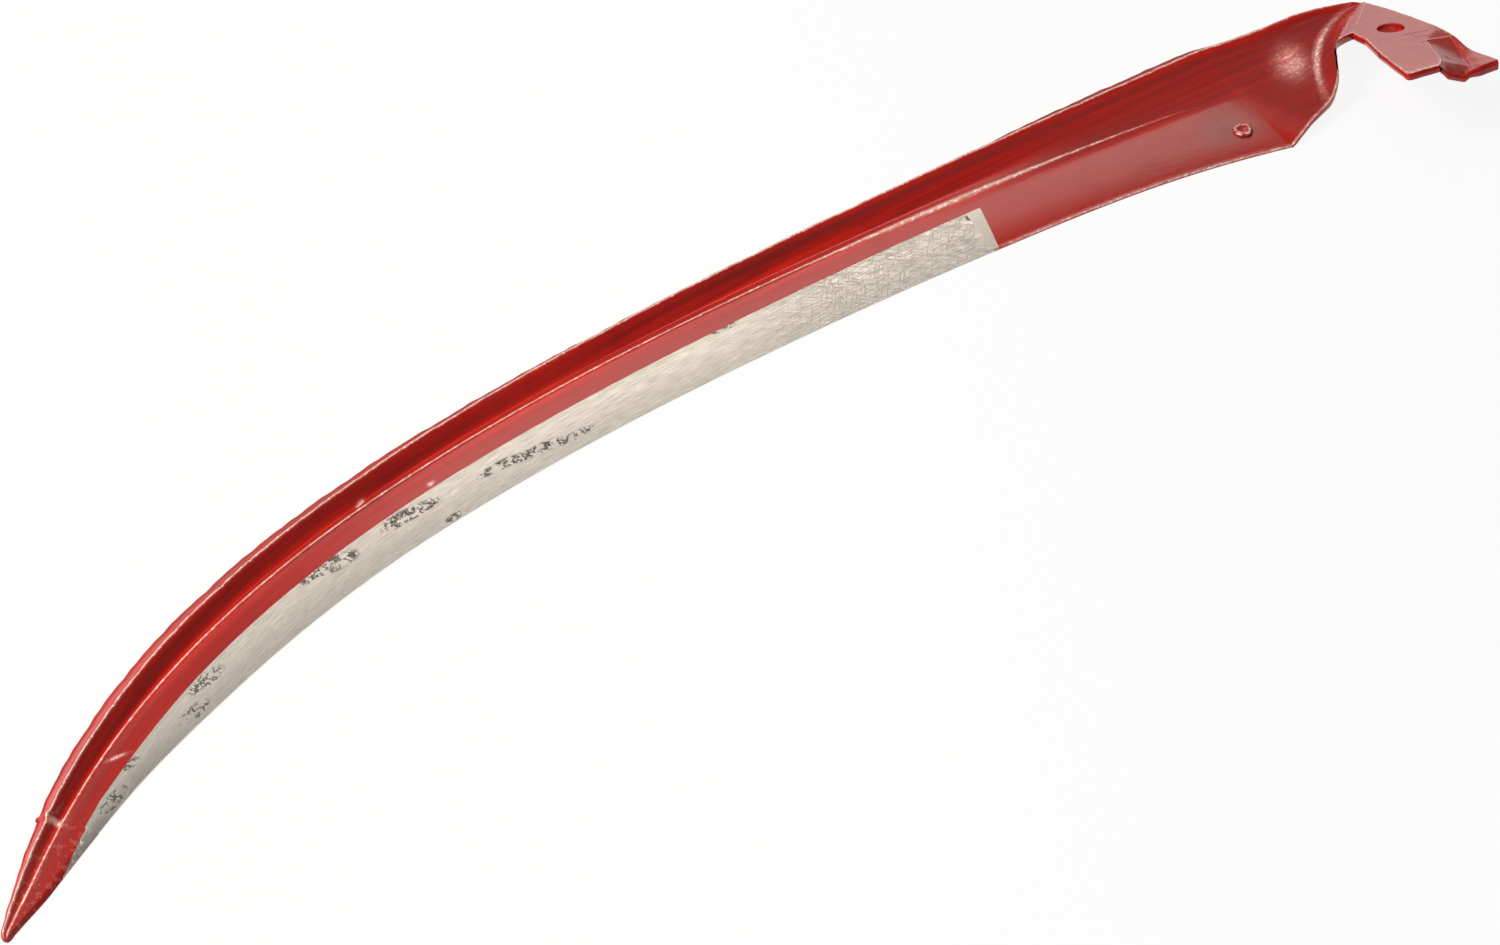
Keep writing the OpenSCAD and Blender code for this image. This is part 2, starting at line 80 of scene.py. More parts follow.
# Shares of the blade's length at which the widths and heights below are given
SHARES = np.array([0, 0.025, 0.08, 0.18, 0.35, 0.58, 0.80, 0.93, 1.022])
WIDTHS = np.array([POINT_W, 10.4, 19.1, 29.3, 35.1, 40.7, 46.4, 52.0, 62.4])
SLOPES = 6.0 * np.array([0.1, 0.28, 0.74, 1.05, 1.12, 0.93, 0.9, 1.25, 1.3])
HEIGHTS = RIB_H_POINT + (RIB_H - RIB_H_POINT) * np.array([0, 0.25, 0.6, 0.917, 1, 1, 1, 1.056, 1.141])
FLOORS = 5.4 * np.array([0.21, 0.46, 0.67, 0.92, 1, 1.3, 2, 2.5, 2.9])
RIDGES = 8.0 * np.array([0.19, 0.42, 0.62, 0.85, 1, 1.3, 1.87, 2.45, 3.1])
RIDGE_RISES = 0.2 * np.array([0, 0.3, 0.7, 1, 1, 1, 1, 0.5, 0.2])
FEET = 5.5 * np.array([0.1, 0.4, 0.7, 1, 1, 1, 1.24, 1.15, 0.71])
SWEEPS = np.array([0, 0, 0, 0, 0, 0, 0.2, 0.9, 1])
STRIPS = np.array([6.5, 6.5, 6.5, 13.3, 17.0, 19.53, 22.5, 24.75, 27.0])
LEANS = 7.0 * np.array([0, 0, 0, 0, 0, 0.43, 1, 0.86, 0.6])

# The fold's ragged end at the point: how far it wanders as a share of the blade, its drop's length as a share
# of the blade, how much of the drop the rib takes, and the height of the lip that stands on it
STEP_WANDER, STEP_RUN, STEP_TAKEN, STEP_LIP = 0.0012, 0.004, 0.8, 0.7
# The neck's width at its end as a share of the rim's, and where its columns have spread out evenly
NECK_NARROW, NECK_SPREAD = 0.2, 0.6

# Rows and columns of the solids' grid, where one piece ends and the next begins
TIP_ROWS, POINT_ROWS, STRIP_ROWS, BLADE_ROWS = 3, 9, 37, 45
HEEL_ROWS, NECK_ROWS = 5, 11
LAST_ROW = BLADE_ROWS + HEEL_ROWS + NECK_ROWS
TIP_T, POINT_T, STRIP_T = 0.009, 0.116, 0.876
COL_CREST, COL_FLOOR, COL_RIDGE, COL_WEB, COL_STRIP, LAST_COL = 3, 7, 9, 11, 14, 18
SLOPE_STEPS = (0, 0.45, 0.8, 1)
RIB_STEPS = (0.16, 0.45, 0.75, 1)
STRIP_STEPS = (0.35, 0.7, 0.92, 1)
EDGE_CURVE, SWEEP_CURVE, DISH_CURVE, TIP_CROWD, SLOPE_REACH = 1.6, 1.6, 1.8, 1.6, 0.92

# How finely each stretch of rows and each zone of columns is divided here
ROW_CUTS = [(TIP_ROWS, 4), (POINT_ROWS, 9), (STRIP_ROWS, 18), (BLADE_ROWS, 16),
            (BLADE_ROWS + HEEL_ROWS, 10), (LAST_ROW, 9)]
COL_CUTS = [5, 5, 8, 9, 7, 6, 5, 5, 10, 14, 6, 4, 4, 4, 5, 5, 5, 5]


def mix(a, b, m):
    """The value a share m of the way from a to b."""
    return a + (b - a) * m


def clip(m):
    """m held between 0 and 1."""
    return np.clip(m, 0.0, 1.0)


def ease(m):
    """The share m with a soft start and end: three times its square less twice its cube."""
    return m * m * (3.0 - 2.0 * m)


def bump_at(x, middle, width):
    """A bell round middle: e to the minus square of the distance over the width."""
    return np.exp(-(((x - middle) / width) ** 2))


def ripple(x, waves, seed=0.0):
    """An uneven line between about -1 and 1: sines of the given wavelengths, each with its own start."""
    lines = [np.sin(2 * math.pi * x / w + 1.7 * k + seed * (k + 1)) for k, w in enumerate(waves)]
    return sum(lines) / len(waves)


def along(xs, ys, x):
    """A smooth curve through ys at xs: cubic pieces with the slope of each point's neighbours.

    The last piece is a parabola."""
    xs, ys = np.asarray(xs, float), np.asarray(ys, float)
    slope = np.empty_like(ys)
    slope[0] = (ys[1] - ys[0]) / (xs[1] - xs[0])
    slope[1:-1] = (ys[2:] - ys[:-2]) / (xs[2:] - xs[:-2])
    slope[-1] = 2 * (ys[-1] - ys[-2]) / (xs[-1] - xs[-2]) - slope[-2]
    i = np.clip(np.searchsorted(xs, x, side="right") - 1, 0, len(xs) - 2)
    h = xs[i + 1] - xs[i]
    m = (x - xs[i]) / h
    return (ys[i] * (1 - ease(m)) + ys[i + 1] * ease(m)
            + slope[i] * h * m * (1 - m) ** 2 - slope[i + 1] * h * m * m * (1 - m))


def pulled(end, angle, pull):
    """The second point of a cubic curve: its end, moved by pull along the angle in degrees."""
    return [end[0] + pull * math.cos(math.radians(angle)), end[1] + abs(pull) * math.sin(math.radians(angle))]


# The back's crest, a cubic curve between the point and the heel
CREST_ENDS = (-0.65 * POINT_W, POINT_RISE), (BLADE_LEN + HEEL_AHEAD, HEEL_DEPTH)
CREST = np.array([CREST_ENDS[0], pulled(CREST_ENDS[0], POINT_ANGLE, POINT_PULL),
                  pulled(CREST_ENDS[1], HEEL_ANGLE, -HEEL_PULL), CREST_ENDS[1]])


def crest(t):
    """Points of the crest at the shares t: the cubic curve that its two ends and their pulls make."""
    t = np.asarray(t, float)[..., None]
    s = 1 - t
    return s ** 3 * CREST[0] + 3 * s * s * t * CREST[1] + 3 * s * t * t * CREST[2] + t ** 3 * CREST[3]


def heading(t):
    """Unit direction of the crest at t, towards the heel."""
    t = np.asarray(t, float)[..., None]
    s = 1 - t
    d = s * s * (CREST[1] - CREST[0]) + 2 * s * t * (CREST[2] - CREST[1]) + t * t * (CREST[3] - CREST[2])
    return d / np.linalg.norm(d, axis=-1, keepdims=True)


def law(values, t):
    """A width or height at t, from its values at SHARES of the blade's length."""
    return along(SHARES, values, np.maximum(0.0, crest(t)[..., 0]) / BLADE_LEN)


def edge_zone(t):
    """Width of the strip along the edge: a bevel at the point that grows into the bare strip."""
    x = crest(t)[..., 0]
    return mix(BEVEL_W * mix(0.4, 1, clip(x / STRIP_START)), law(STRIPS, t),
               clip((x - STRIP_START) / STRIP_TAPER))


def row_columns(t):
    """Distances of the 19 columns from the crest at each t, outer rim first and edge last."""
    w, r = law(WIDTHS, t), law(RIDGES, t)
    slope, floor, strip = law(SLOPES, t), law(FLOORS, t), w - edge_zone(t)
    foot = np.minimum(r + law(FEET, t), mix(r, strip, SLOPE_REACH))
    cols = [-slope * (1 - m) for m in SLOPE_STEPS] + [floor * m for m in RIB_STEPS]
    cols += [mix(floor, r, m) for m in (0.5, 1)] + [mix(r, foot, m) for m in (0.5, 1)]
    cols += [mix(foot, strip, m / 3) for m in (1, 2, 3)] + [mix(strip, w, m) for m in STRIP_STEPS]
    return np.stack(cols, axis=-1)


def spread_columns(cols, c):
    """Distances at the fractional column numbers c, straight between the whole columns."""
    low = np.minimum(c.astype(int), LAST_COL - 1)
    return cols[..., low] + (cols[..., low + 1] - cols[..., low]) * (c - low)


def upper(q, cols, crest_z, floor_z, ridge_z, edge_z, sweep):
    """Height of the upper face at distance q: rim, crest, fuller, ridge, web and edge, eased in turn.

    sweep is the share by which fuller and ridge give way to one hollow curve."""
    ends = [cols[..., j, None] for j in (0, COL_FLOOR, COL_RIDGE, COL_WEB, COL_STRIP, LAST_COL)]
    rim, floor, ridge, foot, strip, edge = ends
    grooved = np.select(
        [q < floor, q < ridge],
        [mix(crest_z, floor_z, ease(clip(q / floor))),
         mix(floor_z, ridge_z, ease(clip((q - floor) / (ridge - floor))))],
        mix(ridge_z, WEB_T, clip((q - ridge) / (foot - ridge))))
    hollow = mix(WEB_T, crest_z, clip(1 - q / foot) ** SWEEP_CURVE)
    return np.select(
        [q < 0, q < foot],
        [mix(RIM_H, crest_z, ease(clip(1 - q / rim))), mix(grooved, hollow, clip(sweep))],
        mix(WEB_T, edge_z, clip((q - strip) / (edge - strip)) ** EDGE_CURVE))


def place(i):
    """The share t of the blade at each fractional row number."""
    stretch = lambda a, b, row_a, row_b: mix(a, b, (i - row_a) / (row_b - row_a))
    return np.select(
        [i < TIP_ROWS, i < POINT_ROWS, i < STRIP_ROWS],
        [TIP_T * clip(i / TIP_ROWS) ** TIP_CROWD, stretch(TIP_T, POINT_T, TIP_ROWS, POINT_ROWS),
         stretch(POINT_T, STRIP_T, POINT_ROWS, STRIP_ROWS)],
        stretch(STRIP_T, 1, STRIP_ROWS, BLADE_ROWS))


def heel_share(i):
    """Share of the way through heel and neck at each row number, and 0 on the blade."""
    return clip((i - BLADE_ROWS) / (HEEL_ROWS + NECK_ROWS))


def turn(v, angle, a, b):
    """v turned by angle degrees in the plane of its components a and b."""
    out = np.array(v, float)
    c, s = math.cos(math.radians(angle)), math.sin(math.radians(angle))
    out[..., a], out[..., b] = c * v[..., a] - s * v[..., b], s * v[..., a] + c * v[..., b]
    return out


def tang_turned(v):
    """A direction of the tang's own frame (along, outwards, up) in the blade's frame."""
    v = turn(np.asarray(v, float), -TANG_LEAN, 1, 2)
    v = turn(v, -TANG_RISE, 2, 0)
    return turn(v, -TANG_TURN, 0, 1)


TANG_UP = tang_turned([0, 0, 1])
ROOT_OUT = np.array([-ROOT_BACK, 0.76 * TANG_OUT])
ROOT_IN = np.array([-ROOT_IN_T, -0.95 * TANG_IN])
# The sheared edge beside the knob's groove, as three points of the tang's plane
GROOVE_TOP = np.array([KNOB_START, 0.07 * TANG_OUT])
GROOVE_BEND = np.array([45.0, -8.9])
GROOVE_FOOT = np.array([TANG_END, -13.0])


def on_tang(p):
    """Points of the tang's plane, given along and outwards from the hole, in the blade's frame."""
    p = np.asarray(p, float)
    return HOLE + tang_turned(np.concatenate([p, np.zeros(p.shape[:-1] + (1,))], axis=-1))


def tang_z(p):
    """Height of the tang's plane over the points p."""
    return HOLE[2] - ((p[..., 0] - HOLE[0]) * TANG_UP[0] + (p[..., 1] - HOLE[1]) * TANG_UP[1]) / TANG_UP[2]


def route(points, u):
    """A smooth line through evenly counted points, at the shares u."""
    points = np.asarray(points)
    steps = np.linspace(0, 1, len(points))
    return np.stack([along(steps, points[:, k], u) for k in (0, 1)], axis=-1)


def heel_lines():
    """The back's line and the notch's line through heel and neck, as their listed points."""
    r = on_tang(ROOT_OUT)[:2]
    back = [CREST[3], CREST[3] + [0.47 * BACK_RUN, -0.57 * BACK_DROP], CREST[3] + [BACK_RUN, -BACK_DROP],
            r + [-0.16 * BACK_RUN, 0.49 * BACK_DROP], r]
    r = on_tang(ROOT_IN)[:2]
    shares = [[0, 0], [0.32, 0.15], [0.65, 0.31], [0.81, 0.48], [0.9, 0.68], [1, 1]]
    notch = [np.array([BLADE_LEN, 0]) + np.array(p) * [NOTCH_REACH, NOTCH_DEPTH] for p in shares]
    notch += [r - [0.25 * NOTCH_REACH, 0.02 * NOTCH_DEPTH], r]
    return np.array(back), np.array(notch)


def crease(v):
    """Share of the heel's length at which the crease lies, at share v of the way to the edge."""
    return mix(CREASE_NOTCH, CREASE_BACK, (1 - clip(v)) ** 1.3)


# The forging's upper and under faces, as one fine grid that the pieces share

def fine_steps(cuts, start=0):
    """Numbers that divide each whole step of cuts = [(end, parts of each step)] evenly."""
    out = []
    for end, parts in cuts:
        out.append(np.arange(start * parts, end * parts) / parts)
        start = end
    return np.concatenate(out + [[float(start)]])


def blade_rows(i, c, looks):
    """Points of the blade at rows i and columns c: crest, less a step across, plus the profile's height.

    Before the point's step the crest is lower by the step's depth, and a burr stands on the step."""
    t = place(i)
    cols = row_columns(t)
    q = spread_columns(cols, c)
    w = cols[:, -1:]
    tip = np.sqrt(1 - (1 - np.clip(t / TIP_T, 0.04, 1)) ** 2)[:, None]
    f = heading(t)
    s = np.stack([f[:, 1], -f[:, 0]], axis=-1)
    shift = mix(w / 2, q, tip)
    lean = law(LEANS, t)[:, None] * np.maximum(0, q) / w
    xy = crest(t)[:, None] + s[:, None] * shift[..., None] - f[:, None] * lean[..., None]
    step = POINT_T - t - STEP_WANDER * np.sin(0.9 * cols.mean(axis=1))
    beyond = clip(step / STEP_RUN)[:, None] * looks.step_depth / MM
    burr = bump_at(step, -0.001, 0.0032)[:, None] * bump_at(q, 1.5, 3.5)
    crest_z = law(HEIGHTS, t)[:, None] - STEP_TAKEN * beyond
    floor_z = mix(WEB_T, FULLER_FLOOR, clip(t / POINT_T))[:, None]
    ridge_z, sweep = WEB_T + law(RIDGE_RISES, t)[:, None], law(SWEEPS, t)[:, None]
    z = upper(q, cols, crest_z, floor_z, ridge_z, EDGE_T, sweep) + STEP_LIP * burr
    return np.concatenate([xy, z[..., None]], axis=-1), q


def heel_rows(u, c):
    """Points of heel and neck: lines from the back to the notch, climbing past the crease to the tang."""
    back, notch = heel_lines()
    a, b = route(back, u), route(notch, u)
    w = np.linalg.norm(b - a, axis=-1)[:, None]
    first = row_columns(np.array([1.0]))
    fine = spread_columns(first, c)[0]
    whole = first[0]
    narrow = mix(1, NECK_NARROW, ease(u))[:, None]
    turned = ease(clip(u / NECK_SPREAD))[:, None]
    q = np.where(c < COL_CREST, fine * narrow,
                 mix(fine / whole[-1], (c - COL_CREST) / (LAST_COL - COL_CREST), turned) * w)
    rib = np.where(whole > 0, whole * w / whole[-1], whole * narrow)
    v = q / w
    xy = mix(a[:, None], b[:, None], v[..., None])
    at = crease(v)
    dish = DISH_RISE * (1 - (1 - clip(u[:, None] / at)) ** DISH_CURVE) * ease(clip(v / 0.4))
    crest_z = mix(law(HEIGHTS, 1.0), RIB_H_HEEL, clip(u * 2))[:, None]
    edge_z = mix(EDGE_T, WEB_T, clip(u * 7))[:, None]
    low = upper(q, rib, crest_z, FULLER_FLOOR, WEB_T + law(RIDGE_RISES, 1.0), edge_z, law(SWEEPS, 1.0)) + dish
    m = clip((u[:, None] - at) / (1 - at))
    climb = 0.75 * m + 1.5 * m * m - 1.25 * m ** 3
    z = mix(low, tang_z(xy), climb)
    return np.concatenate([xy, z[..., None]], axis=-1), q


def skin_under(top, i, c):
    """The under face: the upper one less the sheet's thickness, flat where it lies on the ground."""
    u = heel_share(i)[:, None]
    skin = mix(np.where(c <= COL_WEB, RIB_SKIN, WEB_T), NECK_SKIN, ease(clip(u * 2)))
    skin = mix(skin, TANG_T, clip(i[:, None] - (LAST_ROW - 1)))
    d = mix(np.array([0, 0, 1.0]), TANG_UP, (u * u)[..., None])
    d = d / np.linalg.norm(d, axis=-1, keepdims=True)
    low = top - d * skin[..., None]
    return np.where(low[..., 2:] < 0, top * [1, 1, 0], low)


def grid_normals(p, flip):
    """Unit normals of a grid of points: the cross of its differences along columns and rows."""
    n = np.cross(np.gradient(p, axis=1), np.gradient(p, axis=0))
    n /= np.maximum(np.linalg.norm(n, axis=-1, keepdims=True), 1e-12)
    return -n if flip else n


# Heights in millimetres: the paint's own, the lip at the step's corner, the edge's bead and the heel's blows
PAINT_RISE, EDGE_BEAD, HEEL_BLOWS = 0.08, 0.12, 0.16
STEP_CORNER = np.array([-0.45, 0.5, 0.3])
# Length of heel and neck, which turns their shares into millimetres, and the share where the crease begins
HEEL_RUN, CREASE_FROM = 62.0, 0.2
# The rough stretch of the ridge: its middle, as a run from the point, and its half length
ROUGH_AT, ROUGH_HALF = 495.0, 45.0
# Wavelengths in millimetres of the uneven lines
BACK_WAVES, BACK_NICKS, CREST_WAVES = (61.0, 37.0, 23.0), (12.0, 7.7), (3.1, 5.3, 8.9)
RIDGE_WAVES, EDGE_WAVES, CREASE_WAVES = (2.3, 4.1, 6.7, 11.0), (2.7, 4.1, 7.7), (3.3, 5.9, 8.3)
BLOWS_ALONG, BLOWS_ACROSS, STRIP_WAVES = (13.0, 8.3), (11.0, 6.1), (9.0, 4.3)

# In the point the bare strip starts at this x, and has its full width after this run
POINT_STRIP_FROM, POINT_STRIP_RUN = 19.0, 29.0
# The strip's square end: x and y of its lower corner, and how far x goes on for each millimetre of y
STRIP_END_X, STRIP_END_Y, STRIP_END_SLOPE = 471.7, 32.5, 0.513
# The brown stain before the rivet and the painted highlight patch in the heel: x, y and half sizes
STAIN = (588.0, 25.0, 17.0, 12.0)
PAINTED_HIGHLIGHT = (636.0, 33.0, 5.5, 9.0)
SHINE_COS, SHINE_SIN = 0.737, -0.676
# Dark scale on the bare strip: run from the point, half length, distance from the edge, half width, strength
SCALE_PATCHES = [
    (65.0, 7.0, 3.0, 2.2, 0.9), (81.0, 6.0, 7.0, 2.0, 0.5), (112.0, 8.0, 4.0, 2.5, 0.7),
    (127.0, 8.0, 10.0, 2.5, 0.8), (192.0, 9.0, 15.0, 2.3, 0.8), (201.0, 8.0, 12.0, 2.5, 0.6),
    (229.0, 7.0, 13.4, 2.4, 1.0), (239.0, 7.0, 12.2, 2.0, 0.9), (245.0, 4.0, 1.6, 1.2, 0.9),
    (274.0, 8.0, 10.6, 1.6, 1.0), (290.0, 9.0, 8.6, 1.6, 1.0), (305.0, 9.0, 5.8, 1.5, 0.8),
    (385.0, 6.0, 20.0, 1.8, 0.7), (504.0, 5.0, 20.0, 2.2, 0.8),
]
# Bright chips and scratches in the paint: x, y, half length, half width, angle
BRIGHT_MARKS = [
    (229.9, 73.4, 1.3, 0.7, 15.0), (70.6, 39.2, 2.6, 0.6, -10.0),
    (205.4, 82.5, 1.6, 0.6, 20.0), (38.5, 29.0, 1.6, 0.7, -20.0),
]


def turned_bump(dx, dy, cosine, sine, half_long, half_wide):
    """A bell with two half widths, its long axis turned by the angle of that cosine and sine."""
    return (bump_at(dx * cosine + dy * sine, 0.0, half_long)
            * bump_at(dy * cosine - dx * sine, 0.0, half_wide))


class Forging:
    """The whole forging's fine grid: points, normals, flow map and masks, shared by its pieces.

    i and c number its rows and columns, run is the way along it from the point, q the distance from the
    crest, u the share through heel and neck, and v the share from the crest to the edge."""

    def __init__(self, looks):
        rows = fine_steps(ROW_CUTS)
        cols = fine_steps([(j + 1, n) for j, n in enumerate(COL_CUTS)])
        blade = rows <= BLADE_ROWS
        blade_top, blade_q = blade_rows(rows[blade], cols, looks)
        heel_top, heel_q = heel_rows(heel_share(rows[~blade]), cols)
        top, self.q = np.concatenate([blade_top, heel_top]), np.concatenate([blade_q, heel_q])
        step = np.linalg.norm(np.diff(top[:, np.searchsorted(cols, COL_FLOOR + 1.0)], axis=0), axis=-1)
        self.run = np.concatenate([[0], np.cumsum(step)])[:, None]
        self.i, self.c, self.u = rows[:, None], cols[None], heel_share(rows)[:, None]
        self.v = clip(self.q / np.maximum(self.q[:, -1:], 1e-6))
        self.off_ridge = self.q - self.q[:, [np.searchsorted(cols, float(COL_RIDGE))]]
        self.off_crease = (self.u - crease(self.v)) * HEEL_RUN
        under = skin_under(top, rows, cols)
        self.top = self.worked(top, looks)
        self.under = under + (self.top - top) * [1, 1, 0]
        self.top_normals = grid_normals(self.top, False)
        self.under_normals = grid_normals(self.under, True)
        self.masks = self.painted_masks()

    def before_end(self, rows, last=0):
        """A share that falls from 1 to 0 over so many rows before the row last rows from the end."""
        return clip((LAST_ROW - last - self.i) / rows)

    def worked(self, top, looks):
        """The grid with its marks: the back's waves, the step's corner, beads of paint and hammer blows."""
        i, c, run, q = self.i, self.c, self.run, self.q
        out = top.copy()
        side = clip((COL_CREST + 3 - c) / 5) * clip(i / 4) * self.before_end(8)
        wave = ripple(run, BACK_WAVES, 0.4) + 0.5 * ripple(run, BACK_NICKS, 1.3)
        out[..., 1] += looks.wave_depth / MM * wave * side
        crest_bead = bump_at(c, COL_CREST + 0.1, 0.55) * self.before_end(6) * clip(i / 8)
        out[..., 2] += crest_bead * (looks.bead_height / MM) * (1 + 0.6 * ripple(run, CREST_WAVES, 2.0))
        rough = 0.5 + 1.2 * bump_at(run, ROUGH_AT, ROUGH_HALF)
        ridge_bead = self.on_ridge(0.5) * clip((i - POINT_ROWS) / 3)
        out[..., 2] += ridge_bead * (looks.bead_height / MM) * (0.9 + rough * ripple(run, RIDGE_WAVES, 0.8))
        corner = bump_at(place(i), POINT_T + 0.001, 0.002) * clip((COL_CREST + 1 - c) / 2)
        out += corner[..., None] * STEP_CORNER
        edge_bead = bump_at(c, LAST_COL - 0.3, 0.3) * clip((i - STRIP_ROWS) * 3) * self.before_end(6, 3)
        out[..., 2] += edge_bead * EDGE_BEAD * (1.2 + ripple(run, EDGE_WAVES, 0.1))
        painted = (c <= COL_STRIP) | (i >= STRIP_ROWS) | (i < POINT_ROWS)
        out[..., 2] += np.where(painted, PAINT_RISE, 0.0) * clip(i / 3) * clip((LAST_COL - c) * 2)
        out[..., 2] += self.crease_beads(looks)
        blows = (ripple(run * 0.8 + q, BLOWS_ALONG, 0.2) * ripple(q - 0.3 * run, BLOWS_ACROSS, 1.1))
        out[..., 2] += HEEL_BLOWS * blows * clip(self.u / 0.25) * self.before_end(2) * (c > 1)
        return out

    def crease_beads(self, looks):
        """Two lumpy beads of paint in the crease, the second spreading from it towards the edge."""
        off, u, v = self.off_crease, self.u, self.v
        reach = clip((u - CREASE_FROM) / 0.06) * clip((0.8 - u) / 0.2) * (self.q > 0) * clip(v / 0.25)
        lumpy = 1 + 0.45 * ripple(v * 40, CREASE_WAVES, 0.6)
        return reach * (looks.crease_bead / MM) * (bump_at(off, 0.6, 1.5) * lumpy
                                                   + 0.45 * bump_at(off, -4.5 * v - 1.0, 1.0) * lumpy)

    def on_ridge(self, width):
        """A bell across the ridge's line, of the given half width, that fades out before the heel."""
        return bump_at(self.off_ridge, 0.0, width) * clip((BLADE_ROWS - 1 - self.i) / 4)

    def bare_mask(self):
        """Bare steel in painted pieces: a wavy strip along the point's edge, and the strip's slanting end."""
        i, x = self.i, self.top[..., 0]
        from_edge = self.q[:, -1:] - self.q
        grown = clip((crest(place(i))[..., 0] - POINT_STRIP_FROM) / POINT_STRIP_RUN)
        reach = mix(-0.3, STRIPS[0], grown) + 0.15 * ripple(self.run, STRIP_WAVES, 0.7)
        bare = clip((reach - from_edge) / 0.35 + 0.5) * (i < POINT_ROWS + 0.01) * clip((x - 24.0) / 2.0)
        before = (STRIP_END_X + STRIP_END_SLOPE * (self.top[..., 1] - STRIP_END_Y) - x) / 2.0 + 0.5
        return np.maximum(bare, clip(before) * (i > STRIP_ROWS - 0.01) * (self.c > COL_STRIP - 0.01))

    def worn_and_lit_mask(self, painted_highlight, crease_highlight):
        """Worn paint and painted highlights: crest, ridge and lower edge worn with painted highlights,
        painted highlights on the point's step, the crease and the heel's patch, and worn marks.
        """
        i, x, y = self.i, self.top[..., 0], self.top[..., 1]
        rough = bump_at(self.run, ROUGH_AT, ROUGH_HALF)
        # Crest and ridge: worn paint with painted highlights
        line = np.maximum(bump_at(self.q, 0, 0.34), self.on_ridge(0.3 + 0.8 * rough))
        line = line * self.before_end(6, 2) * clip(i / 3)
        # Painted highlight on the point's step
        line = np.maximum(line, bump_at(place(i), POINT_T - 0.001, 0.0016) * bump_at(self.q, 3.0, 2.0))
        line = np.maximum(line, np.maximum(0.75 * crease_highlight, 0.35 * painted_highlight))
        for mark_x, mark_y, half_long, half_wide, tilt in BRIGHT_MARKS:
            a = math.radians(tilt)
            line = np.maximum(line, turned_bump(x - mark_x, y - mark_y, math.cos(a), math.sin(a),
                                                half_long, half_wide))
        # Lower edge: paint bead worn bright, with a painted highlight
        low_edge = bump_at(self.c, LAST_COL - 0.2, 0.25) * clip((i - STRIP_ROWS) * 2)
        return np.maximum(line, 0.6 * low_edge)

    def brown_mask(self):
        """Stained paint: before the rivet, along the beard, beside the ridge near the point, in the point."""
        x, y = self.top[..., 0], self.top[..., 1]
        stain_x, stain_y, half_x, half_y = STAIN
        brown = np.maximum(bump_at(x, stain_x, half_x) * bump_at(y, stain_y, half_y),
                           0.35 * bump_at(x, 560.0, 45.0) * clip((self.c - COL_WEB) * 2))
        brown = np.maximum(brown, 0.8 * bump_at(self.off_ridge, 2.3, 1.3) * clip((150.0 - self.run) / 60.0))
        return np.maximum(brown, 0.5 * clip((POINT_ROWS - self.i) / 2) * bump_at(self.off_ridge, -2.0, 2.6))

    def painted_shade_mask(self, painted_highlight, crease_highlight):
        """Painted shade, laid as deep, dull red paint: the heel but for its painted highlights, under the
        crest, and near the point.
        """
        i, c, run = self.i, self.c, self.run
        past_web = ease(clip((self.top[..., 0] - 598.0) / 18.0)) * (i > BLADE_ROWS - 2)
        inside = clip((c - COL_CREST - 0.3) / 1.5)
        deep = past_web * (1 - clip(1.3 * painted_highlight)) * (1 - 0.9 * crease_highlight) * inside
        deep = deep * self.before_end(4, 2)
        under_crest = clip((run - 470.0) / 90.0) * inside * clip((COL_WEB - 0.5 - c) / 1.0)
        near_point = 0.6 * clip((265.0 - run) / 115.0) * clip((c - COL_RIDGE) / 1.5)
        deep = np.maximum(deep, np.maximum(0.7 * under_crest * (1 - painted_highlight) * (self.u == 0), near_point))
        return np.maximum(deep, bump_at(c, 4.6, 0.8) * clip((run - 330.0) / 80.0) * self.before_end(6, 8))

    def painted_masks(self):
        """Shares from 0 to 1 that the materials read, under the names in MASKS."""
        i, c, run, q = self.i, self.c, self.run, self.q
        x, y = self.top[..., 0], self.top[..., 1]
        # Painted highlight: a bright patch in the heel
        shine_x, shine_y, half_long, half_wide = PAINTED_HIGHLIGHT
        painted_highlight = turned_bump(x - shine_x, y - shine_y, SHINE_COS, SHINE_SIN, half_long, half_wide)
        # Painted highlight along the crease
        crease_highlight = (bump_at(self.off_crease, -0.5, 2.2) * clip((self.u - CREASE_FROM) / 0.06)
                       * bump_at(self.v, 0.5, 0.3))
        scale = sum(bump_at(run, along_at, half_long) * bump_at(q[:, -1:] - q, edge_at, half_wide) * strength
                    for along_at, half_long, edge_at, half_wide, strength in SCALE_PATCHES)
        deep = self.painted_shade_mask(painted_highlight, crease_highlight)
        masks = {
            # line: worn paint with painted highlights
            "bare": self.bare_mask(), "line": self.worn_and_lit_mask(painted_highlight, crease_highlight), "scale": clip(scale),
            # deep: painted shade
            "brown": self.brown_mask(), "deep": deep,
            # Painted shade along the fuller
            "streak": bump_at(c, 8.1, 0.55) * clip((run - 120.0) / 60.0) * clip((BLADE_ROWS - i) / 6),
            "outer": clip((COL_CREST - 0.25 - c) / 0.5) * clip(run / 220.0),
            "rub": ease(clip((i - LAST_ROW + 2.5) / 2.5)),
            "calm": clip((c - COL_WEB + 1.5) / 1.5) * (1 - deep),
            "hatch": clip((x - 350.0) / 60.0), "tip": clip((POINT_ROWS + 1 - i) / 2)}
        return {key: np.broadcast_to(mask, x.shape) for key, mask in masks.items()}


# Meshes

# What each mask marks: bare steel, worn lines with painted highlights, dark scale, brown stains, painted
# shade along the fuller, the dull outer slope, the rubbed tang, evenly laid paint, slanting strokes, painted
# shade in deep red and the blistered tip
MASKS = ("bare", "line", "scale", "brown", "streak", "outer", "rub", "calm", "hatch", "deep", "tip")
# How far apart on the flow map a piece's under face lies from its upper one, in metres
UNDER_FLOW, TANG_UNDER_FLOW = np.array([0.4, 0.2]), np.array([0.2, 0.1])
# Width that a wall takes on the flow map in metres, and the parts of a millimetre to which points are welded
WALL_FLOW, WELD = 0.003, 1e4
# How far a free edge bulges out at most, in millimetres: a painted one and the ground one
PAINTED_ROUND, SHARP_ROUND = 0.35, 0.12


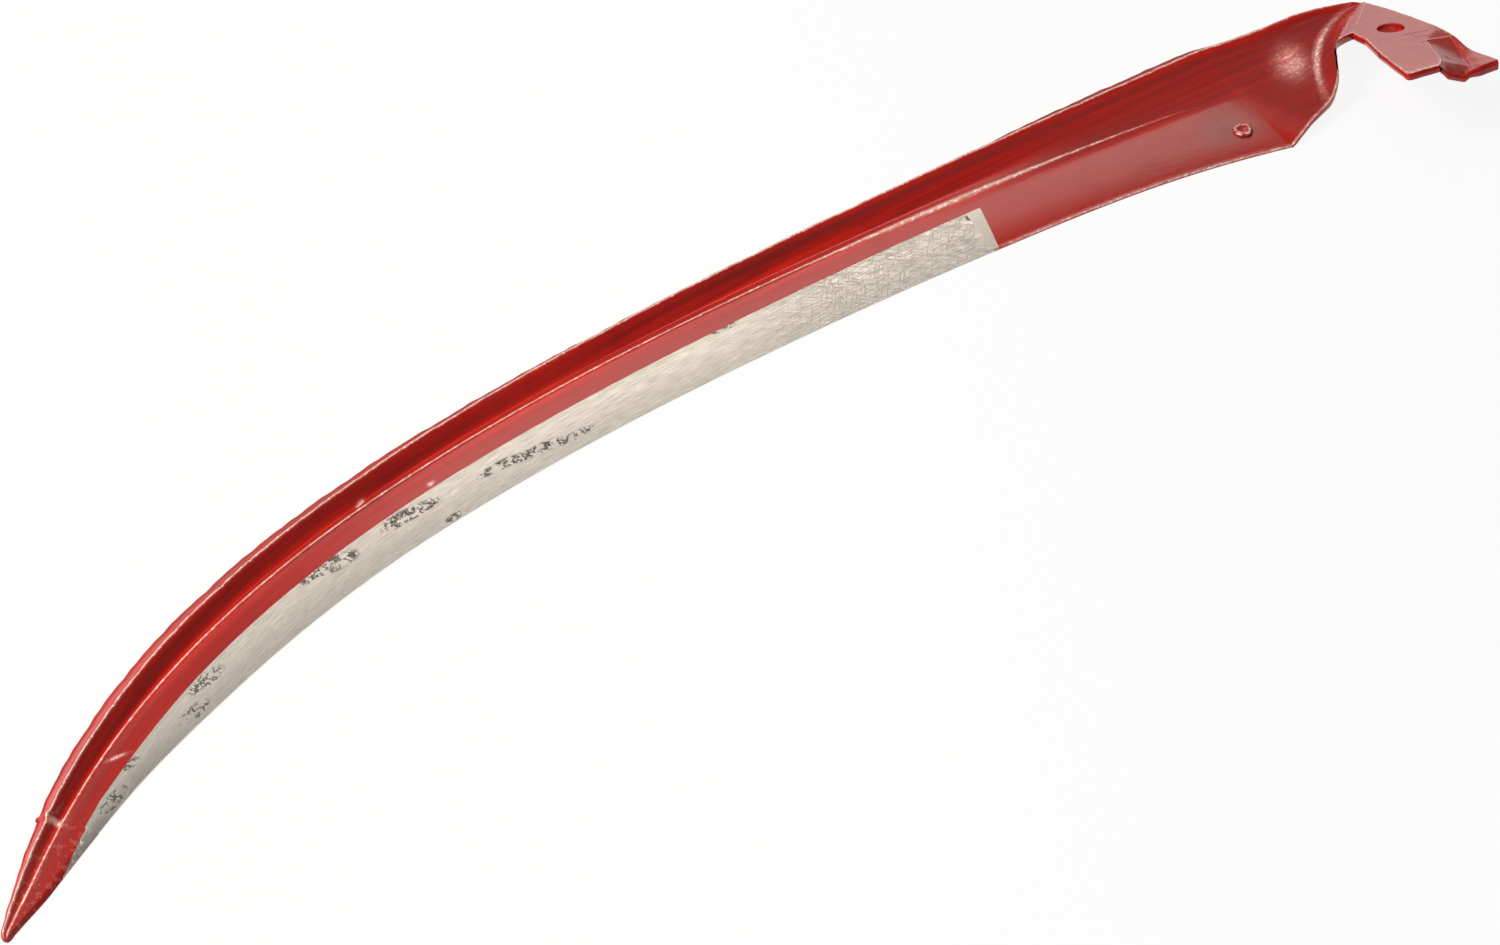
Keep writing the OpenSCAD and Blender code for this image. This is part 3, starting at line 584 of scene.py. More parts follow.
class Shell:
    """Gathers grids of points with their normals, flow map and masks into one mesh."""

    def __init__(self):
        self.points, self.normals, self.flows = [], [], []
        self.faces, self.masks, self.grids = [], [], []
        self.count = 0

    def add(self, points, normals, flow, masks=None, closed=False):
        """Adds one grid, its faces turned the way its normals point. closed joins its last and first rows."""
        rows, cols = points.shape[:2]
        index = np.arange(rows * cols).reshape(rows, cols)
        if closed:
            index = np.concatenate([index, index[:1]])
        quads = np.stack([index[:-1, :-1], index[:-1, 1:], index[1:, 1:], index[1:, :-1]], axis=-1)
        quads = quads.reshape(-1, 4)
        flat, around = points.reshape(-1, 3), normals.reshape(-1, 3)
        facing = np.cross(flat[quads[:, 2]] - flat[quads[:, 0]], flat[quads[:, 3]] - flat[quads[:, 1]])
        if np.sum(facing * around[quads].sum(axis=1)) < 0:
            quads = quads[:, ::-1]
        self.faces.append(self.count + quads)
        self.grids.append(np.full(len(quads), len(self.grids)))
        self.points.append(flat)
        self.normals.append(around)
        self.flows.append(flow.reshape(-1, 2))
        self.masks.append({k: m.reshape(-1) for k, m in (masks or {}).items()})
        self.count += rows * cols

    def wall(self, upper_line, lower_line, outward, bulge, flow, masks=None, steps=7):
        """A rounded wall between two lines: half an ellipse that stands out by bulge in the middle."""
        a = np.linspace(0, math.pi, steps)[:, None, None]
        points = mix(upper_line, lower_line, (1 - np.cos(a)) / 2) + outward * bulge * np.sin(a)
        half = np.linalg.norm(upper_line - lower_line, axis=-1, keepdims=True) / 2
        up = (upper_line - lower_line) / np.maximum(2 * half, 1e-9)
        normals = up * np.cos(a) * bulge + outward * np.sin(a) * np.maximum(half, 1e-4)
        normals = np.where(bulge + 0 * normals == 0, outward, normals)
        normals /= np.maximum(np.linalg.norm(normals, axis=-1, keepdims=True), 1e-12)
        down = (np.linspace(0, 1, steps) * WALL_FLOW)[:, None, None]
        flow = np.repeat(flow[None], steps, axis=0) + [0, 1] * down
        masks = {k: np.repeat(m[None], steps, axis=0) for k, m in (masks or {}).items()}
        self.add(np.swapaxes(points, 0, 1), np.swapaxes(normals, 0, 1), np.swapaxes(flow, 0, 1),
                 {k: m.T for k, m in masks.items()})

    def build(self, name, node, material):
        """Makes the mesh object in the row's frame, hangs it under the root's empty, and hides its node.

        Points at one place become one vertex, and the quads that this narrows become triangles. Edges between
        two grids are sharp, so that each grid keeps its own normals there."""
        points = np.concatenate(self.points) - MIDDLE
        faces = np.concatenate(self.faces)
        _, first, same = np.unique(np.round(points * WELD).astype(np.int64), axis=0, return_index=True,
                                   return_inverse=True)
        welded = same.reshape(-1)[faces]
        twin = welded == np.roll(welded, -1, axis=1)
        folded = (welded[:, 0] == welded[:, 2]) | (welded[:, 1] == welded[:, 3])
        whole, narrow = (twin.sum(axis=1) == 0) & ~folded, (twin.sum(axis=1) == 1) & ~folded
        corners = np.concatenate([faces[whole].ravel(), faces[narrow][~twin[narrow]]])
        sizes = np.repeat([4, 3], [whole.sum(), narrow.sum()])
        mesh = bpy.data.meshes.new(name)
        mesh.vertices.add(len(first))
        mesh.vertices.foreach_set("co", (points[first] * MM).astype(np.float32).ravel())
        mesh.loops.add(len(corners))
        mesh.loops.foreach_set("vertex_index", same.reshape(-1)[corners].astype(np.int32))
        mesh.polygons.add(len(sizes))
        mesh.polygons.foreach_set("loop_start", (np.cumsum(sizes) - sizes).astype(np.int32))
        mesh.update(calc_edges=True)
        grids = np.concatenate(self.grids)
        owner = np.repeat(np.concatenate([grids[whole], grids[narrow]]), sizes)
        edge_of = np.zeros(len(corners), np.int32)
        mesh.loops.foreach_get("edge_index", edge_of)
        lowest, highest = np.full(len(mesh.edges), len(self.grids)), np.full(len(mesh.edges), -1)
        np.minimum.at(lowest, edge_of, owner)
        np.maximum.at(highest, edge_of, owner)
        flow = mesh.uv_layers.new(name="flow")
        flow.data.foreach_set("uv", np.concatenate(self.flows)[corners].astype(np.float32).ravel())
        for key in MASKS:
            layer = mesh.attributes.new(key, "FLOAT", "POINT")
            parts = [m.get(key, np.zeros(len(p))) for m, p in zip(self.masks, self.points)]
            layer.data.foreach_set("value", np.concatenate(parts)[first].astype(np.float32))
        mesh.shade_smooth()
        mesh.edges.foreach_set("use_edge_sharp", lowest != highest)
        mesh.normals_split_custom_set(np.concatenate(self.normals)[corners].tolist())
        mesh.materials.append(material)
        piece = bpy.data.objects.new(name, mesh)
        bpy.context.scene.collection.objects.link(piece)
        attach(piece, "root")
        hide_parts(node)
        return piece


def outward_of(line, inside):
    """Level unit directions square to a line of points, pointing away from the point inside."""
    d = np.gradient(line, axis=0) * [1, 1, 0]
    n = np.stack([d[:, 1], -d[:, 0], np.zeros(len(d))], axis=-1)
    n /= np.maximum(np.linalg.norm(n, axis=-1, keepdims=True), 1e-12)
    side = np.sign(np.sum(n * (line - inside), axis=-1, keepdims=True))
    return n * np.where(side == 0, 1, side)


def forged_piece(forging, name, node, material, rows, cols, round_edge=PAINTED_ROUND):
    """The closed piece of the forging between two rows and two columns of the solids' grid."""
    r = slice(np.searchsorted(forging.i[:, 0], rows[0]), np.searchsorted(forging.i[:, 0], rows[1]) + 1)
    k = slice(np.searchsorted(forging.c[0], cols[0]), np.searchsorted(forging.c[0], cols[1]) + 1)
    top, under = forging.top[r, k], forging.under[r, k]
    flow = np.stack(np.broadcast_arrays(forging.run[r], forging.q[r, k]), axis=-1) * MM
    masks = {key: m[r, k] for key, m in forging.masks.items()}
    shell = Shell()
    shell.add(top, forging.top_normals[r, k], flow, masks)
    shell.add(under[:, ::-1], forging.under_normals[r, k][:, ::-1], flow[:, ::-1] + UNDER_FLOW)
    middle, flip = top.reshape(-1, 3).mean(axis=0), slice(None, None, -1)
    for line, low, uv, free in (
            (top[:, 0][flip], under[:, 0][flip], flow[:, 0][flip], cols[0] == 0),
            (top[:, -1], under[:, -1], flow[:, -1], cols[1] == LAST_COL),
            (top[0], under[0], flow[0], rows[0] == 0),
            (top[-1][flip], under[-1][flip], flow[-1][flip], False)):
        thick = np.linalg.norm(line - low, axis=-1).mean()
        shell.wall(line, low, outward_of(line, middle), min(round_edge, 0.4 * thick) if free else 0, uv)
    return shell.build(name, node, material)


# Tang, knob and rivet

# The tang's bend: how far its outer edge has sunk at each distance along
BEND_AT = [6, 12, 15, 17.3, 20, 23.3, 27.6, 31, 35, 40, 50]
BEND = [0, 0, 0.15, 0.5, 0.9, 1.55, 3.0, 4.05, 4.5, 4.4, 4.3]
# The crescent beside the groove: its share of the knob's width at each share of the knob's length
CRESCENT_AT = [0, 0.04, 0.2, 0.39, 0.64, 1]
CRESCENT = [0.85, 0.855, 0.86, 0.77, 0.62, 0.5]
# Where the sheet starts to fall before the knob, along and outwards from the hole
FALL_START = np.array([13.0, 12.0])
# Depths in millimetres of the sheared edge under the plate and of the crescent's foot under the flap, each
# with the share of the knob's length at which it is reached; and how much deeper the flap's inner end sinks
SHEAR_DROP, SHEAR_RUN, ARC_DROP, ARC_RUN, FLAP_SINKS = 0.6, 0.12, 0.8, 0.25, 0.35
# The knob's rounded nose, its start and drop, how much thicker its end is, and where its groove side faces
NOSE_START, NOSE_DROP, KNOB_THICKER = 43.5, 2.4, 1.42
GROOVE_FACES = (-12.0, -28.0)
# How far the rounded edges of tang and knob stand out, and the depth and width of the hole's softened lip
TANG_BULGE, KNOB_BULGE, LIP_DEPTH, LIP_W = 0.55, 0.7, 0.35, 0.7
HAMMER_ALONG, HAMMER_ACROSS = (17.0, 10.3), (15.0, 9.1)
# Radius and height of the burr that was pushed out under the hole
BURR = np.array([
    [HOLE_R, -2.6], [HOLE_R, -4.4], [5.6, -4.9], [6.1, -5.1], [6.6, -4.9], [6.9, -4.2], [7.1, -2.9]])
# The rivet's head, in shares of its radius and height; its play over the beard, and how deep its rim is sunk
RIVET_HEAD = [
    (1, 0), (0.97, 0.45), (0.86, 0.85), (0.7, 1), (0.52, 0.92), (0.33, 0.7), (0.15, 0.58), (0, 0.55)]
RIVET_PLAY, RIVET_SUNK = 0.05, 0.25
# Where the flow maps of tang and rivet start, and the steps of the tang's rays from the hole to its edge
TANG_FLOW, RIVET_FLOW = (900, 200), (300, 300)
RAY_STEPS = np.concatenate([[0, 0.01, 0.03, 0.06], np.linspace(0.1, 1, 22)])


def groove_line(t):
    """How far out the sheared edge of the plate stands beside the groove, at t along the tang."""
    corners = np.array([GROOVE_TOP, GROOVE_BEND, GROOVE_FOOT])
    return np.interp(t, corners[:, 0], corners[:, 1])


def tang_height(t, w, looks, plate=False):
    """Height over the tang's plane. plate is the flat part.

    Beside it the sheet falls, straight across the groove from the sheared edge to the crescent, then level
    out to the flap, with a rounded nose at the end."""
    m = clip((t - KNOB_START) / (TANG_END - KNOB_START))
    towards = clip((t - FALL_START[0]) / (KNOB_START - FALL_START[0]))
    side = np.where(t < KNOB_START, mix(FALL_START[1], GROOVE_TOP[1], towards), groove_line(t))
    k = clip((w - side) / np.maximum(TANG_OUT - side, 0.1))
    arc = np.interp(m, CRESCENT_AT, CRESCENT)
    bend = along(BEND_AT, BEND, np.clip(t, BEND_AT[0], BEND_AT[-1]))
    flap = bend * (1 + FLAP_SINKS * m * clip((1 - k) / (1 - arc)) ** 1.5)
    under_flap = ARC_DROP * ease(clip(m / ARC_RUN))
    floor = SHEAR_DROP * ease(clip(m / SHEAR_RUN)) + (bend + under_flap) * k / arc
    nose = clip((t - NOSE_START) / (TANG_END - NOSE_START))
    drop = NOSE_DROP * (1 - np.sqrt(1 - 0.98 * nose * nose))
    floor = floor + drop * ease(clip(k / 0.15)) * ease(clip((arc + 0.02 - k) / 0.12))
    fall = mix(floor, flap, ease(clip((k - arc) / 0.07 + 0.5)))
    lead = clip((t + 24) / 16) * ease(clip(np.hypot(t, w) / 9 - 0.7))
    marks = ripple(t + 0.4 * w, HAMMER_ALONG, 0.3) * ripple(w - 0.2 * t, HAMMER_ACROSS, 0.9)
    flat = looks.hammer_depth / MM * marks * lead
    return flat - fall * (t <= KNOB_START + 0.06) * (k > 0) if plate else flat - fall


def tang_flow(t, w):
    """Flow map of tang and knob, which runs on from the one to the other."""
    return np.stack([t + TANG_FLOW[0], w + TANG_FLOW[1]], axis=-1) * MM


def tang_points(t, w, h):
    """Points given in the tang's own frame, in the blade's frame."""
    return HOLE + tang_turned(np.stack(np.broadcast_arrays(t, w, h), axis=-1))


def tang_normals(t, w, looks, plate=False, up=1.0):
    """Unit normals of the tang's upper face, from its height's differences along and across."""
    e = 0.05
    dt = (tang_height(t + e, w, looks, plate) - tang_height(t - e, w, looks, plate)) / (2 * e)
    dw = (tang_height(t, w + e, looks, plate) - tang_height(t, w - e, looks, plate)) / (2 * e)
    n = np.stack([-dt, -dw, np.ones_like(dt)], axis=-1)
    return up * tang_turned(n / np.linalg.norm(n, axis=-1, keepdims=True))


def tang_outline():
    """Corners of the tang on its plane, from the root's outer end round by the knob and the end."""
    ruling = (ROOT_IN - ROOT_OUT) / np.linalg.norm(ROOT_IN - ROOT_OUT)
    return np.array([
        ROOT_OUT - ruling * SLOPES[-1] * 0.2, [-0.67 * ROOT_BACK, 0.95 * TANG_OUT],
        [-0.3 * ROOT_BACK, TANG_OUT], [KNOB_START, TANG_OUT], GROOVE_TOP, GROOVE_BEND, GROOVE_FOOT,
        [TANG_END, -TANG_IN_END + 1.3], [TANG_END - 0.5, -TANG_IN_END + 0.3],
        [TANG_END - 1.6, -TANG_IN_END + 0.3],
        [0.75 * TANG_END, -mix(TANG_IN, TANG_IN_END, 0.77)], [KNOB_START, -mix(TANG_IN, TANG_IN_END, 0.46)],
        [0.8 * ROOT_IN_T, -TANG_IN], [-0.36 * ROOT_IN_T, -0.97 * TANG_IN], ROOT_IN])


def looped(line):
    """A line with its first point again at the end."""
    return np.concatenate([line, line[:1]])


def outline_faces(line):
    """Unit directions square to a loop round the hole, in the tang's plane and away from the hole."""
    d = np.gradient(line, axis=0)
    out = np.stack([-d[:, 1], d[:, 0]], axis=-1)
    out *= np.sign(np.sum(out * line, axis=-1, keepdims=True))
    out = tang_turned(np.concatenate([out, 0 * out[:, :1]], axis=-1))
    return out / np.linalg.norm(out, axis=-1, keepdims=True)


def meets_others(line, corners):
    """Which points of the tang's outline lie against the knob, the groove or the neck, so stay square."""
    meets = np.abs(line[:, 0] - KNOB_START) < 0.01
    for a, b in ((GROOVE_TOP, GROOVE_BEND), (GROOVE_BEND, GROOVE_FOOT), (corners[0], ROOT_IN)):
        meets |= on_segment(line, a, b)
    return meets


def turned_normals(points):
    """Normals, of any length, of a grid whose rows go round an axis and meet."""
    wrap = np.concatenate([points[-1:], points, points[:1]])
    return np.cross(np.gradient(wrap, axis=0), np.gradient(wrap, axis=1))[1:-1]


def add_burr(shell):
    """Adds the burr under the hole: its profile turned round, with a lower edge in three waves."""
    r, h = BURR.T
    angle = np.linspace(0, 2 * math.pi, 96, endpoint=False)[:, None]
    h = h + 0.2 * np.sin(3 * angle + 1) * clip(-h - 3.5)
    burr = tang_points(r * np.cos(angle), r * np.sin(angle), h)
    away = turned_normals(burr)
    away /= np.linalg.norm(away, axis=-1, keepdims=True)
    outwards = np.sign(np.sum(away[0, -2] * (burr[0, -2] - HOLE)))
    shell.add(burr, away * outwards, burr[..., :2] * MM, closed=True)


def tang_piece(looks, material):
    """The tang: rays from the hole to the outline, with rounded edges and a softened lip at the hole."""
    corners = tang_outline()
    ends = np.roll(corners, -1, axis=0)
    parts = np.maximum(2, (np.linalg.norm(ends - corners, axis=-1) / 0.8).astype(int))
    line = np.concatenate([mix(a, b, np.linspace(0, 1, n, endpoint=False)[:, None])
                           for a, b, n in zip(corners, ends, parts)])[::-1]
    lip = HOLE_R * line / np.linalg.norm(line, axis=-1, keepdims=True)
    s = RAY_STEPS[None, :, None]
    flat = mix(lip[:, None], line[:, None], s)
    t, w = flat[..., 0], flat[..., 1]
    soft = -LIP_DEPTH * (1 - clip((np.hypot(t, w) - HOLE_R) / LIP_W)) ** 2
    top = tang_points(t, w, tang_height(t, w, looks, True) + soft)
    low = tang_points(t, w, tang_height(t, w, looks, True) - TANG_T - soft)
    flow = tang_flow(t, w)
    worn = {"line": np.broadcast_to(bump_at(s[..., 0], 1.0, 0.03), t.shape) * 0.8,
            "rub": 1 + 0 * t, "calm": 1 + 0 * t}
    shell = Shell()
    shell.add(top, tang_normals(t, w, looks, True), flow, worn, closed=True)
    shell.add(low, tang_normals(t, w, looks, True, -1.0), flow + TANG_UNDER_FLOW, closed=True)
    edge = looped(line)
    bulge = np.where(meets_others(edge, corners), 0.0, TANG_BULGE)[:, None]
    shell.wall(looped(top[:, -1]), looped(low[:, -1]), outline_faces(edge), bulge, looped(flow[:, -1]))
    ring = looped(lip) / HOLE_R
    inward = -tang_turned(np.concatenate([ring, 0 * ring[:, :1]], axis=-1))
    shell.wall(looped(top[:, 0])[::-1], looped(low[:, 0])[::-1], inward[::-1], 0, looped(flow[:, 0])[::-1])
    add_burr(shell)
    return shell.build("Tang", "tang", material)


def on_segment(p, a, b):
    """Which points lie on the segment from a to b, within a hundredth of a millimetre."""
    d = (b - a) / np.linalg.norm(b - a)
    r = p - a
    across = np.abs(r[:, 0] * d[1] - r[:, 1] * d[0])
    s = r @ d
    return (across < 0.01) & (s > -0.01) & (s < np.linalg.norm(b - a) + 0.01)


def knob_piece(looks, material):
    """The knob: the tang's height carried on over a skewed grid, with a thick rounded end."""
    m = np.linspace(0, 1, 61)[:, None]
    k = np.linspace(0, 1, 61)[None]
    t = mix(KNOB_START, TANG_END, m) + 0 * k
    w = mix(groove_line(t), TANG_OUT, k)
    thick = TANG_T * mix(1, KNOB_THICKER, m * ease(clip((k - 0.5) / 0.25)))
    h = tang_height(t, w, looks)
    top, low, flow = tang_points(t, w, h), tang_points(t, w, h - thick), tang_flow(t, w)
    normals, flip = tang_normals(t, w, looks), slice(None, None, -1)
    shell = Shell()
    shell.add(top[:, flip], normals[:, flip], flow[:, flip], {"rub": 1 + 0 * t, "calm": 1 + 0 * t})
    shell.add(low, -normals, flow + TANG_UNDER_FLOW)
    ahead, out = tang_turned([1, 0, 0]), tang_turned([0, 1, 0])
    side = ahead * GROOVE_FACES[0] + out * GROOVE_FACES[1]
    side = side / np.linalg.norm(side)
    for a, b, uv, faces, bulge in (
            (top[:, -1][flip], low[:, -1][flip], flow[:, -1][flip], out, TANG_BULGE),
            (top[:, 0], low[:, 0], flow[:, 0], side, 0),
            (top[0][flip], low[0][flip], flow[0][flip], -ahead, 0),
            (top[-1], low[-1], flow[-1], ahead, KNOB_BULGE)):
        shell.wall(a, b, np.broadcast_to(faces, a.shape) * 1.0, bulge, uv)
    return shell.build("Tang_knob", "tang_knob", material)


def rivet_piece(material):
    """The rivet: a profile turned about its shank, its hammered head a low ring with a dimple."""
    t = 1 - RIVET_BACK / (3 * HEEL_PULL)
    cols = row_columns(np.array([t]))
    w = cols[0, -1]
    q = w - RIVET_DEPTH
    f = heading(t)
    middle = crest(t) + np.array([f[1], -f[0]]) * q - f * law(LEANS, t) * q / w
    skin = upper(np.array([[q - RIVET_R]]), cols, WEB_T, WEB_T, WEB_T, EDGE_T, 0.0)
    seat = float(skin[0, 0]) + RIVET_PLAY
    profile = np.array([(0, 0), (SHANK_R, 0), (SHANK_R, seat - RIVET_SUNK), (RIVET_R, seat - RIVET_SUNK)]
                       + [(RIVET_R * r, seat + RIVET_H * h) for r, h in RIVET_HEAD])
    steps = np.linspace(0, len(profile) - 1, 67)
    radius = np.interp(steps, np.arange(len(profile)), profile[:, 0])[None]
    z = np.interp(steps, np.arange(len(profile)), profile[:, 1])[None]
    angle = np.linspace(0, 2 * math.pi, 72, endpoint=False)[:, None]
    above = clip((z - seat) / RIVET_H)
    uneven = 1 + above * 0.07 * (np.sin(3 * angle + 0.5) + 0.7 * np.sin(7 * angle))
    z = z + above * 0.2 * (np.sin(5 * angle + 1) + 0.6 * np.sin(11 * angle + 2)) * clip(radius / RIVET_R) ** 2
    r = np.minimum(radius * uneven, RIVET_R * 1.02)
    points = np.stack([middle[0] + r * np.cos(angle), middle[1] + r * np.sin(angle), z + 0 * r], axis=-1)
    normals = turned_normals(points)
    length = np.linalg.norm(normals, axis=-1, keepdims=True)
    ends = np.where(z[..., None] > seat / 2, 1.0, -1.0) * [0, 0, 1.0]
    normals = np.where(length > 1e-9, normals / np.maximum(length, 1e-12), ends)
    flow = (points[..., :2] + RIVET_FLOW) * MM
    # The ring on the head, in the line mask: worn paint with a painted highlight
    worn = 0.6 * bump_at(radius / RIVET_R, 0.72, 0.12) * (z > seat)
    masks = {"brown": 0.5 * np.ones_like(r), "line": (worn + 0 * r)[:, ::-1]}
    shell = Shell()
    shell.add(points[:, ::-1], normals[:, ::-1], flow[:, ::-1], masks, closed=True)
    return shell.build("Heel_rivet", "heel_rivet", material)


# Node groups and materials

# Scratches on the tang, in its own frame: along, across, angle to it and length; and their width in metres
TANG_SCRATCHES = [(11.9, 3.0, 82.0, 11.8), (17.8, 3.5, 62.5, 8.4), (23.2, 0.5, 95.0, 6.9)]
SCRATCH_W = 0.0004
# How fine the orange peel of the enamel is, as a noise scale, and what both finishes reflect head on
PEEL_SCALE, HEAD_ON = 420.0, 0.43


def fill(tree, socket, value):
    """Links an input to another node's output, or gives it a plain value."""
    if isinstance(value, bpy.types.NodeSocket):
        tree.links.new(value, socket)
    else:
        socket.default_value = value


def wire(tree, kind, inputs=None, **settings):
    """Adds a node, sets its properties, and fills each named or numbered input."""
    node = tree.nodes.new(kind)
    for key, value in settings.items():
        setattr(node, key, value)
    for key, value in (inputs or {}).items():
        fill(tree, node.inputs[key], value)
    return node


def maths(tree, operation, a, b=0.0):
    """The result of one Math node."""
    return wire(tree, "ShaderNodeMath", {0: a, 1: b}, operation=operation).outputs[0]


def times(tree, a, b):
    """a times b."""
    return maths(tree, "MULTIPLY", a, b)


def total(tree, first, *more):
    """The sum of the values, added one after another."""
    for value in more:
        first = maths(tree, "ADD", first, value)
    return first


def between(tree, value, low, high, to_low=0.0, to_high=1.0):
    """value taken from the range low to high into the range to_low to to_high, and held there."""
    return wire(tree, "ShaderNodeMapRange", {0: value, 1: low, 2: high, 3: to_low, 4: to_high}).outputs[0]


def blend(tree, share, a, b):
    """Colour a share of the way from a to b, which are outputs or plain red, green and blue."""
    node = wire(tree, "ShaderNodeMix", {0: share}, data_type="RGBA")
    for socket, value in ((node.inputs[6], a), (node.inputs[7], b)):
        fill(tree, socket, value if isinstance(value, bpy.types.NodeSocket) else (*value, 1.0))
    return node.outputs[2]


def layered(tree, colour, layers):
    """The colour under layers of (share, shade), the last one on top."""
    for share, shade in layers:
        colour = blend(tree, share, colour, shade)
    return colour


def new_group(name, result, inputs):
    """An empty shader node group with one result and the given inputs, and its input node's outputs."""
    tree = bpy.data.node_groups.new(name, "ShaderNodeTree")
    tree.interface.new_socket("Flow", in_out="INPUT", socket_type="NodeSocketVector")
    for label, value in inputs.items():
        kind = "NodeSocketFloat" if isinstance(value, float) else "NodeSocketVector"
        tree.interface.new_socket(label, in_out="INPUT", socket_type=kind).default_value = value
    tree.interface.new_socket(result, in_out="OUTPUT", socket_type="NodeSocketFloat")
    return tree, tree.nodes.new("NodeGroupInput").outputs


def close_group(tree, value):
    """Gives the group its result."""
    tree.links.new(value, tree.nodes.new("NodeGroupOutput").inputs[0])
    return tree


def turned_parts(tree, vector, angle):
    """The along and across parts of a place on the flow map after a turn."""
    turned = wire(tree, "ShaderNodeVectorRotate", {"Vector": vector, "Angle": angle}, rotation_type="Z_AXIS")
    return wire(tree, "ShaderNodeSeparateXYZ", {0: turned.outputs[0]}).outputs


def sized_noise(tree, entry, detail):
    """Noise on the flow map in spots of the group's size."""
    scaled = wire(tree, "ShaderNodeVectorMath", {0: entry["Flow"]}, operation="SCALE")
    tree.links.new(maths(tree, "DIVIDE", 1.0, entry["Size"]), scaled.inputs["Scale"])
    return wire(tree, "ShaderNodeTexNoise", {
        "Vector": scaled.outputs[0], "Scale": 1.0, "Detail": detail, "Roughness": 0.6}).outputs["Fac"]


def drawn_lines_group():
    """Long thin marks: noise on the flow map, stretched to a length and a width in metres."""
    tree, entry = new_group("Drawn lines", "Value", {
        "Length": 0.04, "Width": 0.0008, "Slant": 0.0, "Detail": 3.0})
    parts = turned_parts(tree, entry["Flow"], entry["Slant"])
    vector = wire(tree, "ShaderNodeCombineXYZ", {
        0: maths(tree, "DIVIDE", parts[0], entry["Length"]),
        1: maths(tree, "DIVIDE", parts[1], entry["Width"])}).outputs[0]
    noise = wire(tree, "ShaderNodeTexNoise", {
        "Vector": vector, "Scale": 1.0, "Detail": entry["Detail"], "Roughness": 0.55})
    return close_group(tree, noise.outputs["Fac"])


def spots_group():
    """Scattered spots: noise of a size in metres, kept only where it passes the share of cover."""
    tree, entry = new_group("Scattered spots", "Mask", {"Size": 0.002, "Cover": 0.3, "Softness": 0.06})
    start = maths(tree, "SUBTRACT", 0.8, times(tree, entry["Cover"], 0.5))
    end = total(tree, start, entry["Softness"])
    return close_group(tree, between(tree, sized_noise(tree, entry, 4.0), start, end))


def contours_group():
    """Thin curly lines: where noise of a size in metres passes its middle value, within a width."""
    tree, entry = new_group("Contours", "Mask", {"Size": 0.003, "Width": 0.02})
    off = maths(tree, "ABSOLUTE", maths(tree, "SUBTRACT", sized_noise(tree, entry, 3.0), 0.5))
    return close_group(tree, between(tree, off, entry["Width"], times(tree, entry["Width"], 0.5)))


def scratch_group():
    """One straight scratch: a thin stroke round a centre, turned by an angle, on the flow map."""
    tree, entry = new_group("Scratch", "Mask", {
        "Centre": (0.0, 0.0, 0.0), "Angle": 0.0, "Length": 0.01, "Width": 0.0004})
    moved = wire(tree, "ShaderNodeVectorMath", {0: entry["Flow"], 1: entry["Centre"]}, operation="SUBTRACT")
    parts = turned_parts(tree, moved.outputs[0], entry["Angle"])
    far = maths(tree, "DIVIDE", maths(tree, "ABSOLUTE", parts[0]), entry["Length"])
    wide = maths(tree, "DIVIDE", maths(tree, "ABSOLUTE", parts[1]), entry["Width"])
    return close_group(tree, times(tree, between(tree, far, 0.5, 0.4), between(tree, wide, 1.0, 0.35)))


GROUP_MAKERS = {"Drawn lines": drawn_lines_group, "Scattered spots": spots_group,
                "Contours": contours_group, "Scratch": scratch_group}


def use_group(tree, name, flow, inputs):
    """The result of a shared node group on a flow map. The group is built when it is first asked for."""
    group = bpy.data.node_groups.get(name) or GROUP_MAKERS[name]()
    return wire(tree, "ShaderNodeGroup", {"Flow": flow, **inputs}, node_tree=group).outputs[0]


def marks_on(tree, flow):
    """Two makers of marks on a flow map: long thin lines, and scattered spots."""
    return (lambda **inputs: use_group(tree, "Drawn lines", flow, inputs),
            lambda **inputs: use_group(tree, "Scattered spots", flow, inputs))


def scratches_on(tree, flow, scratches):
    """The mask of all the given scratches, or None if there are none."""
    mask = None
    for along_mm, across_mm, angle, length in scratches:
        centre = ((along_mm + TANG_FLOW[0]) * MM, (across_mm + TANG_FLOW[1]) * MM, 0.0)
        one = use_group(tree, "Scratch", flow, {
            "Centre": centre, "Angle": -math.radians(angle), "Length": length * MM, "Width": SCRATCH_W})
        mask = one if mask is None else maths(tree, "MAXIMUM", mask, one)
    return mask


def start_material(name):
    """A new material with its tree, its Principled shader and the flow map's vector."""
    material = bpy.data.materials.new(name)
    material.use_nodes = True
    tree = material.node_tree
    tree.nodes.clear()
    shader = wire(tree, "ShaderNodeBsdfPrincipled", {"Specular IOR Level": HEAD_ON})
    tree.links.new(shader.outputs[0], tree.nodes.new("ShaderNodeOutputMaterial").inputs[0])
    return material, tree, shader, wire(tree, "ShaderNodeUVMap", uv_map="flow").outputs[0]


def join_surface(tree, shader, colour, metal, rough, height, strength):
    """Joins the colour, the share of metal, the roughness and the relief to the shader."""
    bump = wire(tree, "ShaderNodeBump", {"Height": height, "Distance": MM, "Strength": strength})
    for label, value in (("Base Color", colour), ("Metallic", metal), ("Roughness", rough),
                         ("Normal", bump.outputs[0])):
        tree.links.new(value, shader.inputs[label])


def mask_of(tree, name):
    """The piece's own mask of that name."""
    return wire(tree, "ShaderNodeAttribute", attribute_name=name, attribute_type="GEOMETRY").outputs["Fac"]


